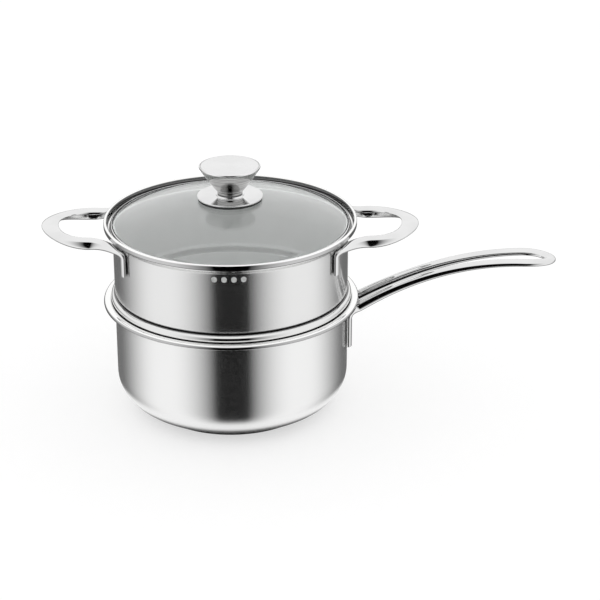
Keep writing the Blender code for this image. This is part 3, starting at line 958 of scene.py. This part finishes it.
for node, section, columns in (
    ("knob_plate", plate_section(), 192),
    ("upper_seal", seal_section(), 128),
    ("lower_seal", lower_seal_section(), 96),
    ("glass_hole_bush", washer_section("glass_hole_bush", bush_hole), 64),
    ("screw_washer", washer_section("screw_washer", bolt_hole), 96),
):
    turned(node, section, columns, ring=True)

# %% [markdown]
# Two fixings can be seen through the glass from below.  The spring washer is a
# ring that is cut and twisted, so its two ends stand at different heights.
# The screw's head has a cross recess: its flat underside is pushed in wherever
# a point lies within a blade's half width of either arm of the cross.

# %% The spring washer
def spring_washer():
    """Section carried round 350 degrees while it rises by a share of its height."""
    rise_share, cut = 0.25, 5.0
    rise = rise_share * (top("spring_washer") - bottom("spring_washer"))
    section = washer_section("spring_washer", bolt_hole, edge=0.0001, room=rise)
    turns = np.radians(np.linspace(cut, 360.0 - cut, 90))
    points = spin(section, turns).transpose(1, 0, 2)
    points[..., 2] += (rise * np.linspace(0.0, 1.0, len(turns)))[:, None]
    index = numbered(len(turns), len(section))
    faces = [grid_faces(index).reshape(-1, 4)[:, ::-1], index[:1], index[-1:, ::-1]]
    uv = grid_uv(turns * reach("spring_washer"), np.linspace(0, 1, len(section)))
    make_piece("spring_washer", points.reshape(-1, 3), faces, uv)


spring_washer()

# %% The screw
shank_radius = 0.0025
head_height = 0.0030
blade_half, blade_reach = 0.00065, 0.0027
recess_depth = 0.0014
side_slope, end_slope = 0.0002, 0.0004


def screw_section():
    """Rounded head below, its underside in fine steps, then the shank."""
    low, high, outer = bottom("knob_screw"), top("knob_screw"), reach("knob_screw")
    radii = np.linspace(0.0, outer - 0.0013, 20)
    return rounded([
        *rising(radii, low + 0 * radii),
        (outer, low, 0.0012),
        (outer, low + head_height, 0.0002),
        (shank_radius, low + head_height, 0.0001),
        (shank_radius, high, 0.0003),
        (0.0, high, 0.0),
    ])


def cross_recess(points):
    """Height raised by depth * mask, the mask falling from 1 to 0 across the
    edge of the nearer arm and across the ends of the arms."""
    x, y = np.abs(points[..., 0]), np.abs(points[..., 1])
    arm = np.clip((blade_half - np.minimum(x, y)) / side_slope, 0, 1)
    span = np.clip((blade_reach - np.maximum(x, y)) / end_slope, 0, 1)
    underside = points[..., 2] < bottom("knob_screw") + 0.0001
    points[..., 2] += recess_depth * arm * span * underside
    return points


turned("knob_screw", screw_section(), 128, shape=cross_recess)

# %% [markdown]
# ## Materials
#
# Nearly all that shows is stainless steel, in one of four finishes.  Brushed
# steel has fine scratches that run round the pot, polished steel is a mirror,
# satin steel lies between, and the knob's side has rings of painted reflection,
# darkened by painted shade towards its foot.  Two effects are in them, so each
# is a node group: scratches that follow the turning, and the faint wipe marks
# that handling leaves.
#
# `add` saves lines: it makes a node, sets it up, and fills or links its inputs.
# The short functions after it do the same for the kinds used most.

# %% Helpers for nodes
def fill(tree, node, values):
    """The node, once its inputs have got a value each or, from a socket, a link."""
    for name, value in values.items():
        if isinstance(value, bpy.types.NodeSocket):
            tree.links.new(value, node.inputs[name])
        else:
            node.inputs[name].default_value = value
    return node


def add(tree, kind, values=None, **settings):
    """A new node with its settings and inputs."""
    node = tree.nodes.new(kind)
    for name, value in settings.items():
        setattr(node, name, value)
    return fill(tree, node, values or {})


def math_node(tree, operation, *values):
    """The output of one Math node."""
    return add(tree, "ShaderNodeMath", dict(enumerate(values)), operation=operation).outputs[0]


def product(tree, first, *others):
    """The values multiplied, one after the other."""
    for other in others:
        first = math_node(tree, "MULTIPLY", first, other)
    return first


def fade(tree, value, low, high, first=0.0, last=1.0, shape="SMOOTHSTEP"):
    """A step from first to last as value goes from low to high, smooth or LINEAR."""
    values = {"Value": value, "From Min": low, "From Max": high, "To Min": first, "To Max": last}
    return add(tree, "ShaderNodeMapRange", values, interpolation_type=shape).outputs[0]


def rise_at(tree, value, place, half_width):
    """A step from 0 to 1, centred on a place."""
    return fade(tree, value, place - half_width, place + half_width)


def fall_at(tree, value, place, half_width):
    """A step from 1 to 0, centred on a place."""
    return fade(tree, value, place - half_width, place + half_width, 1.0, 0.0)


def ranged(tree, mask, ends):
    """A smooth step between two values as a mask goes from 0 to 1."""
    return fade(tree, mask, 0.0, 1.0, *ends)


def mix(tree, mask, first, second):
    """The number first where the mask is 0 and second where it is 1."""
    return add(tree, "ShaderNodeMix", {"Factor": mask, 2: first, 3: second}).outputs[0]


def tint(tree, mask, first, second):
    """As mix, for colours.  A grey is given as one number."""
    values = {"Factor": mask}
    for place, colour in ((6, first), (7, second)):
        if isinstance(colour, float):
            colour = (colour, colour, colour)
        values[place] = (*colour, 1.0) if isinstance(colour, tuple) else colour
    return add(tree, "ShaderNodeMix", values, data_type="RGBA").outputs[2]


def noise(tree, vector, scale, detail, roughness=0.5):
    """Noise at a place."""
    values = {"Vector": vector, "Scale": scale, "Detail": detail, "Roughness": roughness}
    return add(tree, "ShaderNodeTexNoise", values).outputs[0]


def bumped(tree, height, strength, distance):
    """A normal tilted by a height."""
    values = {"Height": height, "Strength": strength, "Distance": distance}
    return add(tree, "ShaderNodeBump", values).outputs[0]


def object_place(tree):
    """The place in the object's own coordinates."""
    return add(tree, "ShaderNodeTexCoord").outputs["Object"]


def split(tree, vector):
    """The outputs X, Y and Z of a vector."""
    return add(tree, "ShaderNodeSeparateXYZ", {0: vector}).outputs


def axis_distance(tree, place):
    """Distance from the axis, the root of x x + y y."""
    flat = add(tree, "ShaderNodeVectorMath", {0: place, 1: (1.0, 1.0, 0.0)}, operation="MULTIPLY")
    return add(tree, "ShaderNodeVectorMath", {0: flat.outputs[0]}, operation="LENGTH").outputs["Value"]


def new_group(name, inputs, outputs):
    """An empty node group with named float inputs and outputs."""
    group = bpy.data.node_groups.new(name, "ShaderNodeTree")
    for label, value in inputs.items():
        socket = group.interface.new_socket(name=label, in_out="INPUT", socket_type="NodeSocketFloat")
        socket.default_value = value
    for label in outputs:
        group.interface.new_socket(name=label, in_out="OUTPUT", socket_type="NodeSocketFloat")
    return group, add(group, "NodeGroupInput").outputs, add(group, "NodeGroupOutput")


# %% [markdown]
# ### Scratches of a turned finish
#
# A belt or a lathe leaves lines that run round the axis.  On a wall they lie at
# one height, on a floor at one radius, so the sum z + r changes fastest across
# them on both.  Noise that is stretched little in x and y and much in z + r is
# a streak pattern with no seam.  The group gives fine and coarse streaks, each
# between 0 and 1.

# %% Group of turned scratches
def turned_scratches():
    """Noise of (x * streaks, y * streaks, (z + r) * lines), and again with far
    fewer lines for the coarse bands."""
    inputs = {"Lines": 5000.0, "Streaks": 12.0}
    group, source, result = new_group("Turned scratches", inputs, ["Scratches", "Bands"])
    place = object_place(group)
    parts = split(group, place)
    across = math_node(group, "ADD", parts["Z"], axis_distance(group, place))
    for label, share, detail in (("Scratches", 1.0, 4.0), ("Bands", 0.08, 2.0)):
        vector = add(group, "ShaderNodeCombineXYZ", {
            "X": product(group, parts["X"], source["Streaks"]),
            "Y": product(group, parts["Y"], source["Streaks"]),
            "Z": product(group, across, product(group, source["Lines"], share)),
        })
        streaks = noise(group, vector.outputs[0], scale=1.0, detail=detail, roughness=0.6)
        fill(group, result, {label: fade(group, streaks, 0.25, 0.75)})
    return group


# %% [markdown]
# ### Wipe marks
#
# Polished steel is never quite clean.  A cloth leaves broad soft patches in
# which the reflection is a little less sharp, and a few hairlines.

# %% Group of wipe marks
def wipe_marks():
    """Broad noise for patches, and thin lines where a stretched noise is near
    its middle value."""
    inputs = {"Patches": 30.0, "Hairs": 400.0}
    group, source, result = new_group("Wipe marks", inputs, ["Haze", "Hairlines"])
    place = object_place(group)
    broad = noise(group, place, source["Patches"], 3.0)
    stretch = {"Vector": place, "Rotation": (0.3, 0.5, 0.9), "Scale": (0.06, 1.0, 1.0)}
    thin = noise(group, add(group, "ShaderNodeMapping", stretch).outputs[0], source["Hairs"], 2.0)
    off = math_node(group, "ABSOLUTE", math_node(group, "SUBTRACT", thin, 0.5))
    fill(group, result, {
        "Haze": fade(group, broad, 0.35, 0.75),
        "Hairlines": fade(group, off, 0.0, 0.012, 1.0, 0.0),
    })
    return group


scratches = turned_scratches()
wipes = wipe_marks()
print("groups:", [group.name for group in bpy.data.node_groups])


# %% [markdown]
# ### Steel
#
# The reflection of brushed steel is drawn out across the scratches.  Principled
# makes that with Anisotropic and a tangent, which is the U direction of each
# piece's UV map: up the section, across the scratches.  The rims are polished
# after brushing, so the roughness drops to a mirror's above a given height, and
# on the steamer's foot below one.
#
# A rim mirrors the dark things next to it, which a white room doesn't have.
# Thin dark and grey bands of colour stand in for them and for the shade in the
# rims' hollows and under their rolls: painted reflections and painted shade,
# here called painted shade bands.  Light that bounces often between shiny faces
# is cut off early, so the insides are only partly metallic and nearly white,
# painted light which keeps them as light as they are in a real pot.

# %% Brushed steel
outside_rough = 0.205, 0.235
inside_rough = 0.48, 0.54
floor_rough = 0.75
mirror_rough = 0.05, 0.09
# The insides are the same steel as the outsides; their nearly white colour is painted light, which with a
# low metallic stands in for light bouncing between the walls.
inside_colour = (0.99, 0.99, 0.985)
inside_metallic = 0.35
# Painted shade and painted dark reflections on the rims: the tone of the darkest bands and the width of
# their soft edges.
painted_shade_tone = 0.16
painted_band_edge = 0.0002
anywhere = 1.0


def new_material(name, values):
    """A material, its tree, and its Principled shader with some values."""
    made = bpy.data.materials.new(name)
    made.use_nodes = True
    shader = made.node_tree.nodes["Principled BSDF"]
    return made, made.node_tree, fill(made.node_tree, shader, values)


def effect(tree, group, **values):
    """Outputs of a node group placed in a tree."""
    return add(tree, "ShaderNodeGroup", values, node_tree=group).outputs


def along_section(tree):
    """The tangent, which is the U direction of the piece's UV map."""
    return add(tree, "ShaderNodeTangent", direction_type="UV_MAP", uv_map="UVMap").outputs[0]


def brushed_steel(name, tone, section_length, floor_height, polished_below, polished_above, painted_shade_bands):
    """Brushed between two heights, polished beyond them, and satin on the inside,
    which is where U is past half of the section's length.  A painted shade band,
    which paints shade or a dark reflection into the colour, says whether it is
    past that half, its lowest and highest place, its greatest distance from the
    axis and its shade."""
    made, tree, shader = new_material(name, {"Metallic": 1.0, "Anisotropic": 0.89})
    lines = effect(tree, scratches)["Scratches"]
    place = object_place(tree)
    height, radius = split(tree, place)["Z"], axis_distance(tree, place)
    over = rise_at(tree, height, polished_below, 0.0005)
    under_rim = fall_at(tree, height, polished_above + 0.0004, 0.0004)
    on_floor = fall_at(tree, height, floor_height + 0.0035, 0.0015)
    u = split(tree, add(tree, "ShaderNodeUVMap", uv_map="UVMap").outputs[0])["X"]
    within = math_node(tree, "GREATER_THAN", u, section_length / 2)
    brushed = product(tree, math_node(tree, "MAXIMUM", over, within), under_rim)
    grain = product(tree, lines, brushed)
    inside = mix(tree, on_floor, ranged(tree, lines, inside_rough), floor_rough)
    rough = mix(tree, within, ranged(tree, lines, outside_rough), inside)
    mirror = ranged(tree, effect(tree, wipes)["Haze"], mirror_rough)
    colour = tint(tree, grain, (tone + 0.01, tone + 0.01, tone + 0.005), tone - 0.015)
    colour = tint(tree, within, colour, inside_colour)
    outside = math_node(tree, "SUBTRACT", 1.0, within)
    # Each band paints shade or a dark reflection into the colour.
    for past_half, low, high, farthest, shade in painted_shade_bands:
        tall = rise_at(tree, height, low, painted_band_edge), fall_at(tree, height, high, painted_band_edge)
        near = fall_at(tree, radius, farthest, painted_band_edge)
        mask = product(tree, *tall, near, within if past_half else outside)
        colour = tint(tree, mask, colour, shade)
    fill(tree, shader, {
        "Base Color": colour,
        "Roughness": mix(tree, brushed, mirror, rough),
        "Metallic": ranged(tree, product(tree, within, under_rim), (1.0, inside_metallic)),
        "Normal": bumped(tree, grain, strength=0.02, distance=0.00001),
        "Tangent": along_section(tree),
    })
    return made


def rim_painted_shade_bands(rim, roll, slope, edge, shade):
    """A rim's three painted shade bands, each from and to a depth below it: a
    painted reflection on the outer face of its roll, and painted shade on the
    slope inside it and at the roll's lower edge."""
    slope_reach = bore + 0.0062
    rows = (roll, anywhere, shade), (slope, slope_reach, painted_shade_tone), (edge, anywhere, painted_shade_tone)
    return [(True, rim - low, rim - high, farthest, tone) for (low, high), farthest, tone in rows]


# The pan and the steamer are the same steel.  Their two tones are a lit and a shaded copy of it: painted
# light and painted shade.
def pan_steel():
    """Brushed below the flare."""
    # Painted reflection on the roll's outer face, painted shade on the slope inside the rim and under the
    # roll.
    roll, slope, edge = (0.0032, 0.0011), (0.0070, 0.0007), (0.0042, 0.0030)
    painted_shade_bands = rim_painted_shade_bands(pan_rim, roll, slope, edge, shade=0.50)
    brushed_above = -1.0
    polished_above = pan_rim - flare_radius + 0.001
    length = lengths(pan_section)[-1]
    return brushed_steel("brushed_pan", 0.87, length, pan_floor, brushed_above, polished_above, painted_shade_bands)


def steamer_steel():
    """Brushed between the tuck and the lid's seat, with painted shade bands on its bead too."""
    low = bead_place()[1] - bead_radius
    high = low + 2 * bead_radius - 0.0006
    roll, slope, edge = (0.0044, 0.0012), (0.0062, 0.0006), (0.0054, 0.0042)
    # Painted shade where the bead sits in the pan's flare and in the groove above it, then the rim's
    # painted reflection and shade.
    painted_shade_bands = [
        (False, low, low + 0.0022, bore + 0.0060, painted_shade_tone),
        (False, high, high + 0.0012, bore + 0.0020, painted_shade_tone),
        *rim_painted_shade_bands(steamer_rim, roll, slope, edge, shade=0.55),
    ]
    brushed_above, polished_above = pan_rim + 0.0070, seat_start + 0.0004
    length = lengths(steamer.profile)[-1]
    # 0.79, darker than the pan's 0.87, is painted shade on the same steel.
    return brushed_steel(
        "brushed_steamer", 0.79, length, steamer_floor, brushed_above, polished_above, painted_shade_bands
    )


# %% Polished steel, the knob's painted rings and satin steel
def polished_steel():
    """A mirror with wipe marks and a few hairlines."""
    made, tree, shader = new_material("polished_steel", {"Metallic": 1.0})
    marks = effect(tree, wipes)
    hairs = product(tree, marks["Hairlines"], 0.06)
    fill(tree, shader, {
        "Roughness": math_node(tree, "ADD", ranged(tree, marks["Haze"], (0.04, 0.09)), hairs),
        "Base Color": tint(tree, marks["Haze"], 0.83, 0.76),
    })
    return made


def knob_steel_painted_rings():
    """A mirror above the knob's cone, and on it rings of painted reflection, darker
    and lighter, which painted shade darkens towards its foot."""
    made, tree, shader = new_material("knob_steel_painted_rings", {"Metallic": 1.0})
    bands = effect(tree, scratches, Lines=9000.0)["Bands"]
    height = split(tree, object_place(tree))["Z"]
    cone_top = knob_top - knob_edge
    on_cone = fade(tree, height, cone_top - 0.0006, cone_top + 0.0002, 1.0, 0.0)
    # Painted shade towards the knob's foot, and rings of painted reflection on its cone.
    painted_foot_shade = fade(tree, height, knob_low, knob_low + 0.0090, 0.55, 1.0)
    painted_rings = tint(tree, painted_foot_shade, 0.22, tint(tree, bands, 0.28, (0.66, 0.66, 0.65)))
    fill(tree, shader, {
        "Base Color": tint(tree, on_cone, 0.86, painted_rings),
        "Roughness": ranged(tree, effect(tree, wipes)["Haze"], (0.05, 0.12)),
    })
    return made


def satin_steel():
    """Fine concentric lines and a soft reflection."""
    made, tree, shader = new_material("satin_steel", {"Metallic": 1.0, "Anisotropic": 0.4})
    lines = effect(tree, scratches, Lines=9000.0, Streaks=60.0)["Scratches"]
    fill(tree, shader, {
        "Roughness": ranged(tree, lines, (0.26, 0.34)),
        "Base Color": tint(tree, lines, 0.86, 0.80),
        "Normal": bumped(tree, effect(tree, wipes)["Haze"], strength=0.05, distance=0.0001),
        "Tangent": along_section(tree),
    })
    return made


def aluminium():
    """Plain blank inside the base, dull with a faint grain."""
    made, tree, shader = new_material("core_aluminium", {"Metallic": 1.0})
    lines = effect(tree, scratches)
    fill(tree, shader, {
        "Roughness": ranged(tree, lines["Scratches"], (0.36, 0.48)),
        "Base Color": tint(tree, lines["Bands"], (0.80, 0.80, 0.81), (0.74, 0.74, 0.75)),
    })
    return made


# %% [markdown]
# ### Glass and silicone
#
# The dome refracts as real glass does, with a faint green from the iron in it.
# For shadow rays, which Light Path tells apart, it is mixed with a transparent
# shader, so that direct light reaches the pot through it.  Silicone is dark and
# matt, with a fine tooth from its mould.

# %% Glass and silicone
def glass():
    """Clear, slightly green, with wipe marks that only blur it a little."""
    made, tree, shader = new_material("lid_glass", {"Transmission Weight": 1.0, "IOR": 1.50})
    haze = effect(tree, wipes)["Haze"]
    fill(tree, shader, {
        "Roughness": ranged(tree, haze, (0.0, 0.03)),
        "Base Color": tint(tree, haze, (0.975, 0.995, 0.99), (0.985, 0.998, 0.995)),
    })
    clear = add(tree, "ShaderNodeBsdfTransparent", {"Color": (0.90, 0.93, 0.92, 1.0)}).outputs[0]
    shadow = add(tree, "ShaderNodeLightPath").outputs["Is Shadow Ray"]
    both = add(tree, "ShaderNodeMixShader", {0: shadow, 1: shader.outputs[0], 2: clear}).outputs[0]
    fill(tree, tree.nodes["Material Output"], {"Surface": both})
    return made


def silicone():
    """Dark rubber with a fine tooth."""
    made, tree, shader = new_material("silicone", {})
    place = object_place(tree)
    tooth = noise(tree, place, scale=3000.0, detail=2.0)
    bloom = noise(tree, place, scale=150.0, detail=3.0)
    fill(tree, shader, {
        "Base Color": tint(tree, bloom, (0.018, 0.018, 0.019), (0.035, 0.035, 0.036)),
        "Roughness": fade(tree, tooth, 0.2, 0.8, 0.50, 0.65),
        "Normal": bumped(tree, tooth, strength=0.2, distance=0.00005),
    })
    return made


# %% Dress the pieces
satin = satin_steel()
finishes = [
    ("brushed_steel", pan_steel(), ["saucepan_shell"]),
    ("brushed_steel", steamer_steel(), ["steamer_shell"]),
    ("polished_steel", knob_steel_painted_rings(), ["knob_body"]),
    ("polished_steel", polished_steel(), [
        "base_cap", "long_handle", "right_side_handle", "left_side_handle", "lid_band", "knob_plate",
    ]),
    ("satin_steel", satin, ["knob_cap", "knob_screw", "screw_washer", "spring_washer"]),
    ("lid_glass", glass(), ["lid_glass"]),
    ("silicone", silicone(), ["upper_seal", "lower_seal", "glass_hole_bush"]),
]
dress = {node: (slot, material) for slot, material, nodes in finishes for node in nodes}
for body, nodes in frame["record"]["behaviour"]["bodies"].items():
    for node in nodes:
        if node in dress:
            piece = pieces[node]
            slot, material = dress[node]
            piece.data.materials.append(material)
            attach(piece, body)
            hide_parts(node)
print(f"{len(dress)} pieces dressed")

# %% [markdown]
# Two nodes keep the CAD's own mesh, because nothing can be seen of them: the
# aluminium inside the base and the threaded insert inside the knob.  They only
# get a material.

# %% Hidden nodes
for node, material in (("base_core", aluminium()), ("knob_insert", satin)):
    mesh = frame["nodes"][node].data
    mesh.materials.clear()
    mesh.materials.append(material)

# %% [markdown]
# ## The studio
#
# Steel shows the room, so the room matters as much as the steel.  The world is
# plain white for the camera, for matt surfaces and through glass.  A ray that
# has met a shiny surface sees the same white with two darker places, as a
# photographer's black cards make them: a slot in front, where the camera
# stands, and low behind the pot, where the table ends.  They give the wall its
# dark stripe and its shaded sides.

# %% The world
def degrees_fade(tree, value, low, high, first, last):
    """A fade between two angles in degrees."""
    return fade(tree, value, math.radians(low), math.radians(high), first, last)


def dark_slot(tree, aside, height):
    """Light of the slot in front: one minus the square of a straight fall from
    its edge to its far end, and white again high up."""
    half, far = math.radians(15.5), math.radians(64.0)
    fall = fade(tree, aside, half, far, 1.0, 0.0, "LINEAR")
    low_down = degrees_fade(tree, height, 28, 42, 1.0, 0.0)
    return math_node(tree, "SUBTRACT", 1.0, product(tree, fall, fall, low_down))


def dark_behind(tree, aside, height):
    """Light of the dark place behind the pot, which ends above the horizon."""
    darkness = 0.85
    sideways = degrees_fade(tree, aside, 80, 145, 0.0, 1.0)
    low_down = degrees_fade(tree, height, -10, 8, 1.0, 0.0)
    return math_node(tree, "SUBTRACT", 1.0, product(tree, sideways, low_down, darkness))


def studio():
    """White, times the light of each dark place.  A direction's azimuth is
    counted from -Y, and its elevation is the arc sine of z."""
    slot_middle = math.radians(1.0)
    world = bpy.data.worlds.new("studio")
    bpy.context.scene.world = world
    world.use_nodes = True
    world.cycles.sampling_method = "NONE"
    tree = world.node_tree
    parts = split(tree, add(tree, "ShaderNodeTexCoord").outputs["Generated"])
    azimuth = math_node(tree, "ARCTAN2", parts["X"], product(tree, parts["Y"], -1.0))
    aside = math_node(tree, "ABSOLUTE", math_node(tree, "SUBTRACT", azimuth, slot_middle))
    height = math_node(tree, "ARCSINE", parts["Z"])
    pattern = product(tree, dark_slot(tree, aside, height), dark_behind(tree, aside, height))
    path = add(tree, "ShaderNodeLightPath").outputs
    shiny = math_node(tree, "GREATER_THAN", path["Glossy Depth"], 0.5)
    not_through_glass = math_node(tree, "LESS_THAN", path["Transmission Depth"], 0.5)
    strength = mix(tree, product(tree, shiny, not_through_glass), 1.0, pattern)
    fill(tree, tree.nodes["Background"], {"Strength": strength, "Color": (1.0, 1.0, 1.0, 1.0)})


studio()
print(f"world: {len(bpy.context.scene.world.node_tree.nodes)} nodes")

# %% [markdown]
# The floor is a pale matt plane that keeps the pot's soft shadow.  For rays
# from shiny surfaces it glows instead: a painted shadow, nearly black, under the
# pot, and painted white light round its foot.  From there on it lets them pass,
# so that steel shows the studio's white and its dark places below the horizon
# too.

# %% The floor
floor_grey, floor_glow = 0.50, 0.53
# Radii of the painted shadow under the pot and of the painted white light round its foot, which only rays
# from shiny surfaces see.
shade_start, shade_end, shade_glow = 0.086, 0.095, 0.02
clear_start, clear_end = 0.105, 0.123


def floor_material():
    """Matt white with a little light of its own for the camera, and for rays from shiny surfaces a
    painted shadow under the pot and painted white light round its foot.
    """
    made, tree, shader = new_material("floor", {})
    tree.nodes.remove(shader)
    matt = add(tree, "ShaderNodeBsdfDiffuse", {"Color": (floor_grey, floor_grey, floor_grey, 1.0)})
    lift = add(tree, "ShaderNodeEmission", {"Strength": floor_glow})
    pale = add(tree, "ShaderNodeAddShader", {0: matt.outputs[0], 1: lift.outputs[0]}).outputs[0]
    away = add(tree, "ShaderNodeVectorMath", {0: object_place(tree)}, operation="LENGTH").outputs["Value"]
    # Painted shadow and painted light: an emission that is nearly black under the pot and white round its
    # foot.
    glow = fade(tree, away, shade_start, shade_end, shade_glow, 1.0)
    table = add(tree, "ShaderNodeEmission", {"Strength": glow}).outputs[0]
    clear = add(tree, "ShaderNodeBsdfTransparent").outputs[0]
    beyond = fade(tree, away, clear_start, clear_end)
    mirrored = add(tree, "ShaderNodeMixShader", {0: beyond, 1: table, 2: clear}).outputs[0]
    shiny = math_node(tree, "GREATER_THAN", add(tree, "ShaderNodeLightPath").outputs["Glossy Depth"], 0.5)
    both = add(tree, "ShaderNodeMixShader", {0: shiny, 1: pale, 2: mirrored}).outputs[0]
    fill(tree, tree.nodes["Material Output"], {"Surface": both})
    return made


def plane(name, half, height):
    """A square of four corners at a height."""
    mesh = bpy.data.meshes.new(name)
    corners = [(-half, -half, height), (half, -half, height), (half, half, height), (-half, half, height)]
    mesh.from_pydata(corners, [], [(0, 1, 2, 3)])
    made = bpy.data.objects.new(name, mesh)
    bpy.context.scene.collection.objects.link(made)
    return made


floor = plane("floor", 4.0, -0.0002)
floor.data.materials.append(floor_material())
print("floor:", floor.name)

# %% [markdown]
# ## Camera
#
# A long lens from above and a little to the right, at the photograph's angle.

# %% The camera
def add_camera(lens, place, pitch, turn):
    """Camera at a fixed place, with a pitch and a turn about the vertical in degrees."""
    data = bpy.data.cameras.new("camera")
    data.lens = lens
    made = bpy.data.objects.new("camera", data)
    bpy.context.scene.collection.objects.link(made)
    made.location = place
    made.rotation_euler = (math.radians(pitch), 0.0, math.radians(turn))
    bpy.context.scene.camera = made


add_camera(lens=116.85, place=(0.0300, -1.5570, 0.7777), pitch=66.32, turn=-1.09)
bpy.context.scene.view_settings.view_transform = "Standard"
print("camera:", bpy.context.scene.camera.name)
